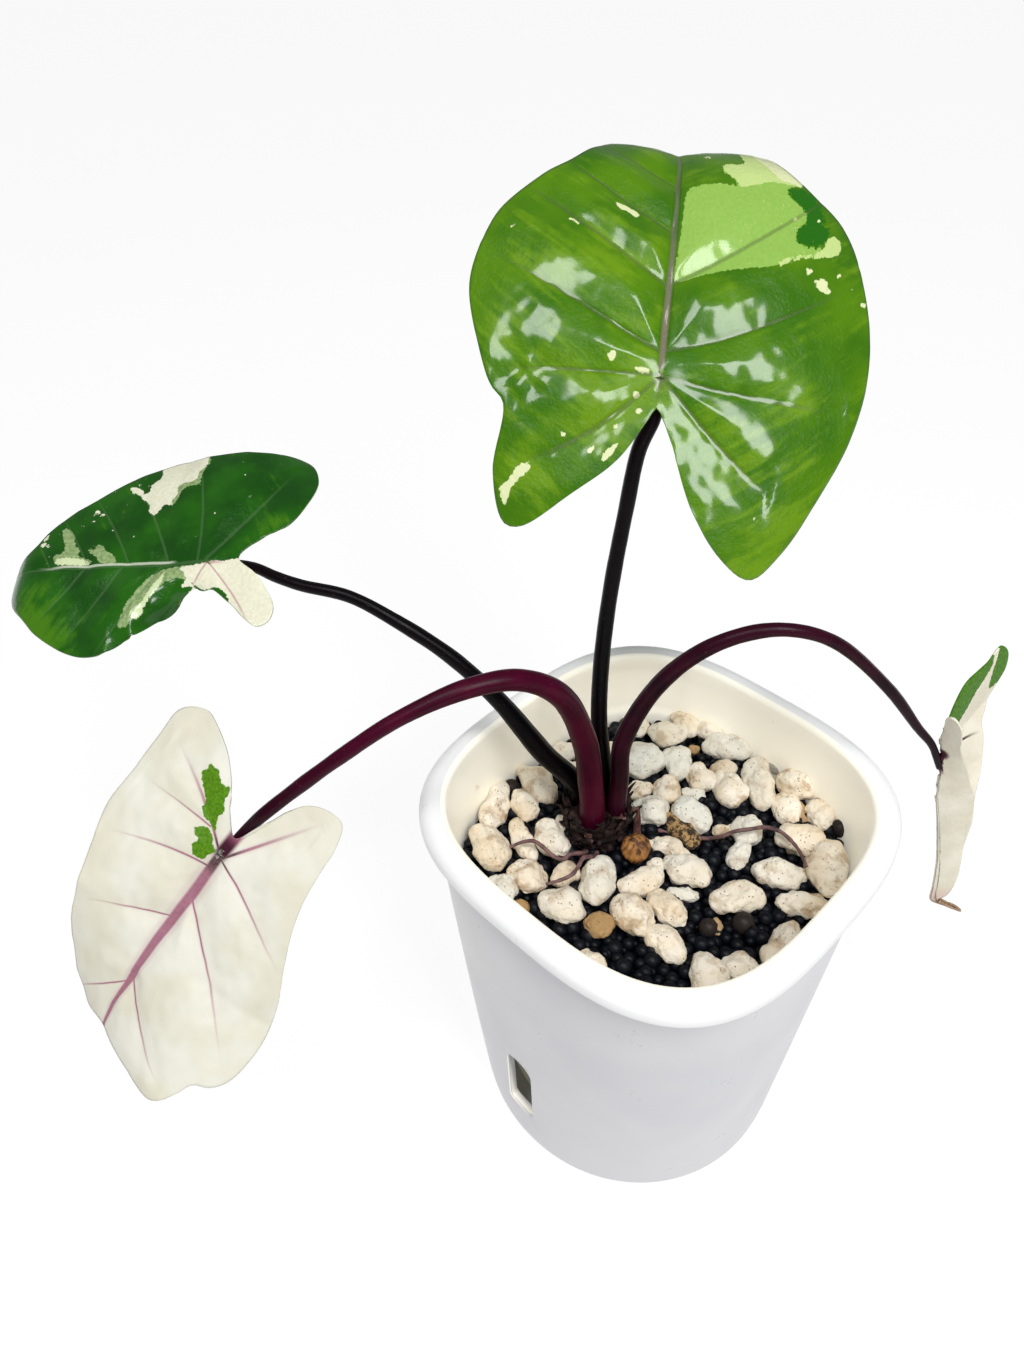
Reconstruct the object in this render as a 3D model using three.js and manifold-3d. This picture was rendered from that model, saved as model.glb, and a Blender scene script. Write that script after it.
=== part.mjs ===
// A potted giant taro: a rounded-square white pot with a planting basket inside, a bed of black
// beads with pumice stones on it, a corm with its roots, and four leaves on long stems.
// Millimetres, +Z up. The origin is the middle of the pot's base, the pot's sides are parallel
// to X and Y, and the side with the overflow slot faces -Y.
import * as THREE from 'three';
import { mergeVertices } from 'three/addons/utils/BufferGeometryUtils.js';
import Module from 'manifold-3d';

const wasm = await Module();
wasm.setup();

const DEGREE = Math.PI / 180;
const GAP = 0.3;

// Pot: a round base that grows into a rounded square under a rolled rim
const POT_HEIGHT = 140;
const BASE_HALF = 51.5;
const NECK_HALF = 56;
const RIM_HALF = 60;
const NECK_Z = 132;
const WALL = 3;
const FOOT_ROUND = 5.7;
const RIM_SQUARENESS = 3.06;
const POT_SIDES = 48;

// Overflow slot through the front wall, with an arched top
const SLOT = { x: -4.5, width: 10.5, bottom: 21.8, top: 54 };

// Shallow recess moulded into the inner face at the back left corner
const RECESS = { angle: 135, spread: 16, bottom: 116, top: 134, depth: 0.8 };

// Planting basket: a cup with a wicking well that stands on the pot's floor
const BASKET_WALL = 1.7;
const BASKET_HALF = 44.5;
const BASKET_FLOOR = 17;
const BASKET_TOP = 61;
const WELL_RADIUS = 14;
const DRAIN_RADIUS = 2;

// Bed of beads: its top rises slightly to the back
const BED_Z = 111.5;
const BED_SLOPE = 0.05;
const BEAD_RADIUS = 2.4;
const BEAD_PITCH = 5.4;
const BEAD_ROW = 0.87 * BEAD_PITCH;
const BEAD_LIFT = 0.4;

// Corm, with its top where the stems start
const CORM = { x: -18.5, y: -3.7, radius: 9.8, bottom: 88, top: 123.7 };
const CORMEL = { x: -3.3, y: -3.4, radius: 4.5 };
const STUB = { x: -7.6, y: 2.6, radius: 1.3, height: 13 };

const BLADE_THICKNESS = 0.8;
const UPRIGHT_FOOT = 5;

const material = (color, roughness, metalness = 0) =>
  new THREE.MeshStandardMaterial({ color, roughness, metalness });

const finish = {
  pot: material(0xe4e2e0, 0.3),
  basket: material(0x8c938a, 0.6),
  beads: material(0x14161c, 0.4),
  pumice: material(0xdfd3bd, 0.95),
  corm: material(0x33211a, 0.9),
  root: material(0x5a4034, 0.8),
  blackStem: material(0x1e1018, 0.25),
  redStem: material(0x5a1e3c, 0.3),
  greenLeaf: material(0x3c8212, 0.25),
  darkLeaf: material(0x1a5c16, 0.3),
  whiteLeaf: material(0xe9e6d4, 0.45),
};

const group = new THREE.Group();

function add(name, geometry, look) {
  const mesh = new THREE.Mesh(geometry, look);
  mesh.name = name;
  group.add(mesh);
}

// A seeded draw from 0 to 1, the same on every run
function seededDraw(seed) {
  let state = seed;
  return () => {
    state = (state * 1664525 + 1013904223) % 4294967296;
    return state / 4294967296;
  };
}

// Joins the shared vertices of a geometry, so that only its places are left
function joined(geometry) {
  geometry.deleteAttribute('normal');
  geometry.deleteAttribute('uv');
  return mergeVertices(geometry, 1e-4);
}

// Turns a closed geometry into a solid with its faces pointing out
function toSolid(geometry) {
  const shell = joined(geometry);
  const places = shell.attributes.position.array;
  const faces = [];
  let volume = 0;
  for (let i = 0; i < shell.index.count; i += 3) {
    const [a, b, c] = [0, 1, 2].map((k) => shell.index.getX(i + k));
    if (a === b || b === c || c === a) continue;
    const [p, q, r] = [a, b, c].map((k) => new THREE.Vector3().fromArray(places, k * 3));
    volume += p.dot(q.cross(r));
    faces.push([a, b, c]);
  }
  const turned = volume < 0 ? faces.map(([a, b, c]) => [a, c, b]) : faces;
  return new wasm.Manifold(new wasm.Mesh({
    numProp: 3,
    vertProperties: new Float32Array(places),
    triVerts: new Uint32Array(turned.flat()),
  }));
}

function toGeometry(solid) {
  const mesh = solid.getMesh();
  const geometry = new THREE.BufferGeometry();
  geometry.setAttribute('position', new THREE.BufferAttribute(mesh.vertProperties, 3));
  geometry.setIndex(new THREE.BufferAttribute(mesh.triVerts, 1));
  return geometry;
}

// The wall's outer half width and its squareness grow from the base to the neck
const wallHalf = (z) => BASE_HALF + (NECK_HALF - BASE_HALF) * Math.min(z / NECK_Z, 1);
const squareness = (z) => 2 + (RIM_SQUARENESS - 2) * Math.min(z / NECK_Z, 1);

function squareReach(angle, z) {
  const n = squareness(z);
  return (Math.abs(Math.cos(angle)) ** n + Math.abs(Math.sin(angle)) ** n) ** (-1 / n);
}

// Turns a profile of [half width, height] pairs into a body with the pot's rounded-square plan
function squareLathe(profile, sides, shift = () => 0) {
  const points = profile.map(([half, z]) => new THREE.Vector2(half, z));
  const geometry = new THREE.LatheGeometry(points, sides);
  geometry.rotateX(Math.PI / 2);
  const place = geometry.attributes.position;
  for (let i = 0; i < place.count; i++) {
    const [x, y, z] = [place.getX(i), place.getY(i), place.getZ(i)];
    const radius = Math.hypot(x, y);
    if (radius < 1e-6) continue;
    const angle = Math.atan2(y, x);
    const scale = squareReach(angle, z) + shift(angle, z, radius) / radius;
    place.setXY(i, x * scale, y * scale);
  }
  return geometry;
}

// Pot
const footArc = [0, 30, 60, 90].map((turn) => [
  BASE_HALF - FOOT_ROUND * (1 - Math.sin(turn * DEGREE)),
  FOOT_ROUND * (1 - Math.cos(turn * DEGREE)),
]);
const wallRise = [28, 56, 84, 110];
const rimRoll = [
  [NECK_HALF, NECK_Z - 1], [RIM_HALF - 1, NECK_Z], [RIM_HALF, NECK_Z + 3], [RIM_HALF - 0.6, 138.2],
  [RIM_HALF - 2.4, 139.7], [RIM_HALF - 4.4, POT_HEIGHT], [RIM_HALF - 6.2, 139.2], [52.9, 137],
];
const recessEdges = [RECESS.top + 0.6, RECESS.top - 0.6, RECESS.bottom + 0.6, RECESS.bottom - 0.6];
const innerWall = [...recessEdges, ...wallRise.toReversed(), 7].map((z) => [wallHalf(z) - WALL, z]);
const potProfile = [
  [0, 0], ...footArc, ...wallRise.map((z) => [wallHalf(z), z]), ...rimRoll, ...innerWall,
  [BASE_HALF - 6.5, WALL + 0.4], [BASE_HALF - 9, WALL], [0, WALL],
];

function recessShift(angle, z, radius) {
  const inside = radius < wallHalf(z) - WALL / 2;
  const across = Math.abs(angle / DEGREE - RECESS.angle) < RECESS.spread;
  return inside && across && z > RECESS.bottom && z < RECESS.top ? RECESS.depth : 0;
}

function overflowSlot() {
  const half = SLOT.width / 2;
  const arch = SLOT.top - half;
  const shape = new THREE.Shape();
  shape.moveTo(-half + 1.5, SLOT.bottom);
  shape.lineTo(half - 1.5, SLOT.bottom);
  shape.lineTo(half, SLOT.bottom + 1.5);
  shape.lineTo(half, arch);
  shape.absarc(0, arch, half, 0, Math.PI, false);
  shape.lineTo(-half, SLOT.bottom + 1.5);
  const cutter = new THREE.ExtrudeGeometry(shape, { depth: 12, bevelEnabled: false, curveSegments: 5 });
  cutter.rotateX(Math.PI / 2);
  cutter.translate(SLOT.x, -BASE_HALF + 6, 0);
  return toSolid(cutter);
}

const potBody = toSolid(squareLathe(potProfile, POT_SIDES, recessShift)).subtract(overflowSlot());
add('pot', toGeometry(potBody), finish.pot);

// Planting basket
const flangeHalf = wallHalf(BASKET_TOP) - WALL - GAP;
const basketProfile = [
  [0, WALL + GAP], [WELL_RADIUS, WALL + GAP], [WELL_RADIUS, BASKET_FLOOR],
  [BASKET_HALF - 1, BASKET_FLOOR], [BASKET_HALF, BASKET_TOP - BASKET_WALL],
  [flangeHalf, BASKET_TOP - BASKET_WALL], [flangeHalf, BASKET_TOP],
  [BASKET_HALF - BASKET_WALL, BASKET_TOP], [BASKET_HALF - 1 - BASKET_WALL, BASKET_FLOOR + BASKET_WALL],
  [WELL_RADIUS - BASKET_WALL, BASKET_FLOOR + BASKET_WALL],
  [WELL_RADIUS - BASKET_WALL, WALL + GAP + BASKET_WALL], [0, WALL + GAP + BASKET_WALL],
];

function drainHoles() {
  const holes = [];
  for (const [count, ring] of [[6, 22], [10, 34]]) {
    for (let k = 0; k < count; k++) {
      const hole = new THREE.CylinderGeometry(DRAIN_RADIUS, DRAIN_RADIUS, 10, 8);
      hole.rotateX(Math.PI / 2);
      const angle = (2 * Math.PI * k) / count;
      hole.translate(ring * Math.cos(angle), ring * Math.sin(angle), BASKET_FLOOR);
      holes.push(toSolid(hole));
    }
  }
  return wasm.Manifold.union(holes);
}

const basket = toSolid(squareLathe(basketProfile, POT_SIDES)).subtract(drainHoles());
add('inner_basket', toGeometry(basket), finish.basket);

// Pumice stones, placed as they lie in the pot. Each row is one node of one or two stones, and a
// stone is its middle x and y, its width and depth along the two diagonals, and its height.
const PUMICE = [
  [[-46, -19, 9, 13, 8]], [[-38.5, -14, 10, 11, 8]], [[-43, -4.5, 14, 12, 10]],
  [[-36, -32, 12, 15, 9]], [[-30, -24, 8, 12, 7]], [[-25, -17, 12, 11, 9]],
  [[-20, -32, 11, 12, 9]], [[-22, -41, 9, 11, 7]], [[-5.5, -33.5, 13, 12, 10]],
  [[-3.5, -20, 11, 14, 10]], [[6, -30.5, 8, 8, 7]], [[13.5, -41, 9, 9, 7]],
  [[10.5, -22, 13, 12, 10]], [[3, -14, 10, 9, 8], [8, -9.5, 10, 9, 8]], [[16, -13, 12, 10, 9]],
  [[23.5, -22.5, 13, 11, 9]], [[13, 0.5, 13, 10, 9], [6.5, 3, 11, 9, 8]], [[2.5, 10.5, 11, 11, 9]],
  [[0, 18.5, 12, 11, 9]], [[-9, 10.5, 11, 12, 9], [-14, 14.5, 9, 8, 7]], [[-10.5, 21, 9, 10, 7]],
  [[-23.5, 24.5, 13, 14, 10]], [[-15, 32, 10, 13, 8]], [[-25.5, 37.5, 12, 10, 8]],
  [[-23.5, 46, 10, 12, 8]], [[-14, 46, 11, 9, 8], [-7, 45, 15, 11, 8]], [[-6, 31.5, 10, 11, 8]],
  [[4, 33, 11, 15, 9]], [[9.5, 42, 12, 15, 9]], [[18, 47, 13, 11, 9], [12, 48.5, 7, 7, 6]],
  [[21, 37, 12, 11, 9]], [[29.5, 42, 9, 11, 7], [30.5, 46, 7, 6, 6]], [[30, 31, 15, 11, 10]],
  [[16.5, 25, 10, 9, 8]], [[20.5, 15, 8, 11, 7]], [[32.5, 17.5, 16, 11, 9]],
  [[41.5, 28, 13, 17, 11]], [[43, 12, 16, 11, 8]], [[29.5, 2.5, 15, 11, 9]],
  [[45, -1, 12, 13, 10]], [[36.5, -24, 12, 15, 9]], [[42.5, -15, 12, 10, 8]],
].map((node) => node.map(([x, y, width, depth, height]) => ({ x, y, width, depth, height })));

const bedAt = (y) => BED_Z + BED_SLOPE * y;
const FIXED = [
  { x: CORM.x, y: CORM.y, width: 2 * CORM.radius, depth: 2 * CORM.radius },
  { x: CORMEL.x, y: CORMEL.y, width: 2 * CORMEL.radius, depth: 2 * CORMEL.radius },
  { x: STUB.x, y: STUB.y, width: 3, depth: 3 },
];

// How far a stone reaches from its middle along a level direction
function reach(stone, dx, dy) {
  const along = (dx + dy) / Math.SQRT2;
  const across = (dx - dy) / Math.SQRT2;
  return Math.hypot(along * stone.width, across * stone.depth) / (2 * Math.hypot(dx, dy));
}

const STONE_GAP = 0.4;

function pushApart(node, other, mover, share) {
  for (const a of node) {
    for (const b of other) {
      const [dx, dy] = [a.x - b.x, a.y - b.y];
      const apart = Math.hypot(dx, dy);
      const lack = reach(a, dx, dy) + reach(b, dx, dy) + STONE_GAP - apart;
      if (lack > 0) mover(dx / apart * lack * share, dy / apart * lack * share);
    }
  }
}

const moveBy = (node) => (dx, dy) => node.forEach((stone) => {
  stone.x += dx;
  stone.y += dy;
});

// The stones settle until none touches its neighbours, the corm or the wall
const SETTLE_ROUNDS = 600;
for (let round = 0; round < SETTLE_ROUNDS; round++) {
  PUMICE.forEach((node, i) => {
    PUMICE.forEach((other, k) => {
      if (k !== i) pushApart(node, other, moveBy(node), 0.5);
    });
    pushApart(node, FIXED, moveBy(node), 1);
    for (const stone of node) {
      const angle = Math.atan2(stone.y, stone.x);
      const z = bedAt(stone.y);
      const room = (wallHalf(z) - WALL) * squareReach(angle, z) - 2 * GAP;
      const over = Math.hypot(stone.x, stone.y) + Math.max(stone.width, stone.depth) / 2 - room;
      if (over > 0) moveBy(node)(-Math.cos(angle) * over, -Math.sin(angle) * over);
    }
  });
}

const FLAT_PART = 0.8;
const STONE_ROUGHNESS = 0.16;
const stoneMiddle = (stone) => bedAt(stone.y) + GAP + (FLAT_PART * stone.height) / 2;

// A lump with few sides, a flat underside and a rough outline
function pumiceStone(stone, draw) {
  const lump = joined(new THREE.SphereGeometry(1, 7, 4));
  lump.rotateX(draw() * 2);
  lump.rotateZ(draw() * 6);
  const place = lump.attributes.position;
  const corner = new THREE.Vector3();
  for (let i = 0; i < place.count; i++) {
    corner.fromBufferAttribute(place, i).multiplyScalar(1 - STONE_ROUGHNESS * draw());
    const along = (corner.x * stone.width) / 2;
    const across = (corner.y * stone.depth) / 2;
    const up = Math.max(corner.z, -FLAT_PART) * (stone.height / 2);
    const level = (along - across) / Math.SQRT2;
    place.setXYZ(i, stone.x + (along + across) / Math.SQRT2, stone.y + level, up);
    place.setZ(i, stoneMiddle(stone) + BED_SLOPE * level + up);
  }
  return toSolid(lump);
}

PUMICE.forEach((node, i) => {
  const draw = seededDraw(100 + i);
  const body = wasm.Manifold.union(node.map((stone) => pumiceStone(stone, draw)));
  add(`pumice_${String(i + 1).padStart(2, '0')}`, toGeometry(body), finish.pumice);
});

// Corm: ringed by old leaf scars, wider at the shoulder, sunk in a plain hole in the bed
const cormRings = [
  [0, CORM.bottom], [4, CORM.bottom], [7, 93], [8.6, 99], [8.2, 101], [9.3, 106], [8.9, 108],
  [CORM.radius, 113], [9.2, 115], [9.6, 118.5], [8.9, 120.5], [9.1, CORM.top - 1],
  [8.3, CORM.top], [0, CORM.top],
];

function roundLathe(rings, grow, sides) {
  const points = rings.map(([r, z]) => new THREE.Vector2(r > 0 ? r + grow : 0, z));
  const geometry = new THREE.LatheGeometry(points, sides);
  geometry.rotateX(Math.PI / 2);
  geometry.translate(CORM.x, CORM.y, 0);
  return toSolid(geometry);
}

add('corm', toGeometry(roundLathe(cormRings, 0, 14)), finish.corm);

const cormHole = [
  [0, CORM.bottom - GAP], [8, CORM.bottom - GAP], [CORM.radius + 0.4, 100],
  [CORM.radius + 0.4, POT_HEIGHT], [0, POT_HEIGHT],
];

// Bed of beads: fills the basket and the pot above it, with rounded beads raised from its top
const fillHalf = (z) => wallHalf(z) - WALL - GAP;
const fillProfile = [
  [0, WALL + BASKET_WALL + 2 * GAP], [WELL_RADIUS - BASKET_WALL - GAP, WALL + BASKET_WALL + 2 * GAP],
  [WELL_RADIUS - BASKET_WALL - GAP, BASKET_FLOOR + BASKET_WALL + GAP],
  [BASKET_HALF - 1 - BASKET_WALL - GAP, BASKET_FLOOR + BASKET_WALL + GAP],
  [BASKET_HALF - BASKET_WALL - GAP, BASKET_TOP + GAP], [fillHalf(BASKET_TOP), BASKET_TOP + GAP],
  [fillHalf(90), 90], [fillHalf(BED_Z), BED_Z], [0, BED_Z],
];

function fillBody() {
  const geometry = squareLathe(fillProfile, POT_SIDES);
  const place = geometry.attributes.position;
  for (let i = 0; i < place.count; i++) {
    if (place.getZ(i) > BED_Z - 1) place.setZ(i, bedAt(place.getY(i)));
  }
  return toSolid(geometry);
}

const clearOfStones = (x, y) => [...PUMICE.flat(), ...FIXED].every((stone) => {
  const [dx, dy] = [x - stone.x, y - stone.y];
  return Math.hypot(dx, dy) > reach(stone, dx, dy) + BEAD_RADIUS + GAP;
});

function beadRelief() {
  const beads = [];
  const draw = seededDraw(7);
  const rows = Math.ceil(NECK_HALF / BEAD_ROW);
  for (let row = -rows; row <= rows; row++) {
    for (let column = -rows; column <= rows; column++) {
      const x = (column + (row % 2 ? 0.5 : 0)) * BEAD_PITCH + (draw() - 0.5);
      const y = row * BEAD_ROW + (draw() - 0.5);
      const turn = draw() * 3;
      const room = fillHalf(BED_Z) * squareReach(Math.atan2(y, x), BED_Z) - BEAD_RADIUS;
      if (Math.hypot(x, y) > room || !clearOfStones(x, y)) continue;
      const bead = new THREE.IcosahedronGeometry(BEAD_RADIUS, 0);
      bead.rotateX(turn);
      bead.translate(x, y, bedAt(y) + BEAD_LIFT);
      beads.push(toSolid(bead));
    }
  }
  return wasm.Manifold.union(beads);
}

const bedSolid = fillBody().add(beadRelief()).subtract(roundLathe(cormHole, 0, 14));
add('bead_fill', toGeometry(bedSolid), finish.beads);

// Cormel: a brown offset that lies on the bed beside the corm
const cormel = new THREE.IcosahedronGeometry(CORMEL.radius, 1);
cormel.translate(CORMEL.x, CORMEL.y, bedAt(CORMEL.y) + GAP + CORMEL.radius);
add('cormel', toGeometry(toSolid(cormel)), finish.corm);

// A round limb: a cylinder bent along a smooth curve, with its radius running through a list
function limb(points, radii, sides, steps) {
  const curve = new THREE.CatmullRomCurve3(points);
  const frames = curve.computeFrenetFrames(steps, false);
  const tube = new THREE.CylinderGeometry(1, 1, 1, sides, steps);
  const place = tube.attributes.position;
  const middle = new THREE.Vector3();
  for (let i = 0; i < place.count; i++) {
    const [x, y, z] = [place.getX(i), place.getY(i), place.getZ(i)];
    const step = Math.round((y + 0.5) * steps);
    const along = (step / steps) * (radii.length - 1);
    const lower = Math.min(Math.floor(along), radii.length - 2);
    const radius = THREE.MathUtils.lerp(radii[lower], radii[lower + 1], along - lower);
    curve.getPointAt(step / steps, middle);
    middle.addScaledVector(frames.normals[step], x * radius);
    middle.addScaledVector(frames.binormals[step], z * radius);
    place.setXYZ(i, middle.x, middle.y, middle.z);
  }
  return toGeometry(toSolid(tube));
}

const vector = ([x, y, z]) => new THREE.Vector3(x, y, z);

// Stub of an old leaf stem, leaning on the corm
const stubFoot = [STUB.x, STUB.y, bedAt(STUB.y) + GAP];
add('old_stem_stub', limb([
  vector(stubFoot),
  vector([STUB.x - 0.4, STUB.y - 0.2, stubFoot[2] + STUB.height / 2]),
  vector([STUB.x - 0.2, STUB.y - 0.6, stubFoot[2] + STUB.height]),
], [STUB.radius, STUB.radius, 0.7], 6, 5), finish.redStem);

// Roots: each runs from the corm over whatever lies under it and ends on the bed
const ROOT_RADIUS = 0.7;
const ROOTS = [
  [[-6, 8.5], [2, 12], [13, 17], [20, 25], [27, 27], [34, 25], [38, 21]],
  [[-13, -15], [-15, -20], [-20, -24], [-27, -24], [-30, -30]],
  [[-10, -13], [-10, -20], [-8, -26], [-13, -32]],
];

function topAt(x, y) {
  let top = bedAt(y) + BEAD_RADIUS + BEAD_LIFT;
  for (const stone of PUMICE.flat()) {
    const along = (x - stone.x + y - stone.y) / Math.SQRT2 / (stone.width / 2);
    const across = (x - stone.x - y + stone.y) / Math.SQRT2 / (stone.depth / 2);
    const q = along * along + across * across;
    if (q < 1) top = Math.max(top, stoneMiddle(stone) + (stone.height / 2) * Math.sqrt(1 - q));
  }
  return top;
}

function rootRoute(route) {
  const middle = vector([CORM.x, CORM.y, 0]);
  const places = route.map(([x, y]) => vector([x, y, 0]));
  const start = places[0].clone().sub(middle).setLength(CORM.radius + GAP).add(middle);
  const flat = new THREE.CatmullRomCurve3([start, ...places]);
  const count = Math.round(flat.getLength() / 2.5);
  return flat.getSpacedPoints(count).map(({ x, y }) => {
    const around = [-1.6, 0, 1.6].flatMap((dx) => [-1.6, 0, 1.6].map((dy) => topAt(x + dx, y + dy)));
    return vector([x, y, Math.max(...around) + ROOT_RADIUS + GAP]);
  });
}

ROOTS.forEach((route, i) => {
  const points = rootRoute(route);
  add(`root_${i + 1}`, limb(points, [ROOT_RADIUS, 0.6, 0.4], 6, points.length + 4), finish.root);
});

// A leaf is laid out flat first: u runs along the midrib from where the stem joins, v to the
// right. Its midrib then bends in stretches of [length, pitch, yaw, twist], its two halves fold
// up and curve in arcs, and its outline is drawn in u and v.
function arcs(length, spans, turns, fold) {
  let [across, up, angle, left] = [0, 0, fold * DEGREE, length];
  spans.forEach((span, i) => {
    const run = i === spans.length - 1 ? left : Math.min(left, span);
    const bend = ((turns[i] * DEGREE) / span) * run;
    const chord = Math.abs(bend) < 1e-6 ? run : ((2 * run) / bend) * Math.sin(bend / 2);
    across += chord * Math.cos(angle + bend / 2);
    up += chord * Math.sin(angle + bend / 2);
    angle += bend;
    left -= run;
  });
  return [across, up];
}

// Turns one direction towards another one at right angles to it
function turnPair(p, q, angle) {
  const [c, s] = [Math.cos(angle), Math.sin(angle)];
  return [
    p.clone().multiplyScalar(c).addScaledVector(q, s),
    q.clone().multiplyScalar(c).addScaledVector(p, -s),
  ];
}

function leafFrame({ heading, rise, roll, spin }) {
  const [a, e] = [heading * DEGREE, rise * DEGREE];
  const forward = vector([Math.cos(a) * Math.cos(e), Math.sin(a) * Math.cos(e), Math.sin(e)]);
  const upright = vector([-Math.cos(a) * Math.sin(e), -Math.sin(a) * Math.sin(e), Math.cos(e)]);
  const side = new THREE.Vector3().crossVectors(forward, upright);
  const [face] = turnPair(upright, side, roll * DEGREE);
  const level = new THREE.Vector3().crossVectors(forward, face);
  const [ahead, right] = turnPair(forward, level, spin * DEGREE);
  return { ahead, face, right };
}

function walkMidrib(start, frame, stretches, sign) {
  const stations = [{ point: start.clone(), ...frame }];
  for (const [length, pitch, yaw, twist] of stretches) {
    for (let step = 0; step < length; step++) {
      const last = stations.at(-1);
      const [a, b, c] = [pitch, yaw, twist].map((turn) => (sign * turn * DEGREE) / length);
      let { ahead, face, right } = last;
      [ahead, face] = turnPair(ahead, face, a);
      [ahead, right] = turnPair(ahead, right, b);
      [face, right] = turnPair(face, right, c);
      const point = last.point.clone().addScaledVector(last.ahead, sign / 2)
        .addScaledVector(ahead, sign / 2);
      stations.push({ point, ahead, face, right });
    }
  }
  return stations;
}

function leafSurface(leaf) {
  const start = vector(leaf.base);
  const frame = leafFrame(leaf);
  const front = walkMidrib(start, frame, leaf.midrib, 1);
  const back = walkMidrib(start, frame, leaf.tail, -1);
  const stations = [...back.slice(1).reverse(), ...front];
  const first = 1 - back.length;

  const blend = (key, u) => {
    const list = leaf.sections;
    const next = Math.max(1, list.findIndex((section) => section.at > u));
    const [a, b] = [list[next - 1], list[next]];
    const t = THREE.MathUtils.clamp((u - a.at) / (b.at - a.at), 0, 1);
    return a[key].map((value, i) => value + (b[key][i] - value) * t);
  };

  return (u, v) => {
    const index = THREE.MathUtils.clamp(Math.floor(u - first), 0, stations.length - 2);
    const t = u - first - index;
    const [a, b] = [stations[index], stations[index + 1]];
    const inStep = THREE.MathUtils.clamp(t, 0, 1);
    const side = v < 0 ? 'left' : 'right';
    const [fold, ...turns] = blend(side, u);
    const [across, up] = arcs(Math.abs(v), leaf.spans[side], turns, fold);
    return a.point.clone().lerp(b.point, t)
      .addScaledVector(a.right.clone().lerp(b.right, inStep), v < 0 ? -across : across)
      .addScaledVector(a.face.clone().lerp(b.face, inStep), up);
  };
}

// A blade: the flat outline as a fan of rings about the stem, bent into place, with an upper and
// a lower face that are split into triangles alike
function bladeGeometry(leaf) {
  const surface = leafSurface(leaf);
  const outline = new THREE.CatmullRomCurve3(
    leaf.outline.map(([u, v]) => vector([u, v, 0])), true, 'catmullrom', 0.5,
  );
  const rim = outline.getSpacedPoints(leaf.sectors).slice(0, leaf.sectors);
  const places = [];
  const put = (u, v, side) => {
    const h = 0.4;
    const du = surface(u + h, v).sub(surface(u - h, v));
    const dv = surface(u, v + h).sub(surface(u, v - h));
    const normal = dv.cross(du).normalize();
    places.push(...surface(u, v).addScaledVector(normal, (side * BLADE_THICKNESS) / 2).toArray());
    return places.length / 3 - 1;
  };
  const faces = [];
  const sheet = (side) => {
    const middle = put(0, 0, side);
    const rings = [];
    for (let k = 1; k <= leaf.rings; k++) {
      rings.push(rim.map(({ x, y }) => put((x * k) / leaf.rings, (y * k) / leaf.rings, side)));
    }
    rim.forEach((_, i) => {
      const j = (i + 1) % rim.length;
      faces.push([middle, rings[0][i], rings[0][j], side]);
      for (let k = 1; k < rings.length; k++) {
        const [inner, outer] = [rings[k - 1], rings[k]];
        faces.push([inner[i], outer[i], outer[j], side], [inner[i], outer[j], inner[j], side]);
      }
    });
    return rings.at(-1);
  };
  const upper = sheet(1);
  const lower = sheet(-1);
  upper.forEach((_, i) => {
    const j = (i + 1) % upper.length;
    faces.push([upper[i], lower[i], upper[j], 1], [upper[j], lower[i], lower[j], 1]);
  });
  const geometry = new THREE.BufferGeometry();
  geometry.setAttribute('position', new THREE.Float32BufferAttribute(places, 3));
  geometry.setIndex(faces.flatMap(([a, b, c, side]) => (side > 0 ? [a, b, c] : [a, c, b])));
  return toGeometry(toSolid(geometry));
}

// The stem stands upright on the corm and runs along its own route. Its approach is given in the
// leaf's directions, ahead, right and above: it ends alongside the midrib, under the blade.
function stemPoints(leaf) {
  const { ahead, face, right } = leafFrame(leaf);
  const [footX, footY] = leaf.foot;
  const approach = leaf.approach.map(([along, side, above]) => vector(leaf.base)
    .addScaledVector(ahead, along).addScaledVector(right, side).addScaledVector(face, above));
  return [
    vector([footX, footY, CORM.top + GAP]),
    vector([footX, footY, CORM.top + UPRIGHT_FOOT]),
    ...leaf.stem.map(vector),
    ...approach,
  ];
}

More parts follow.
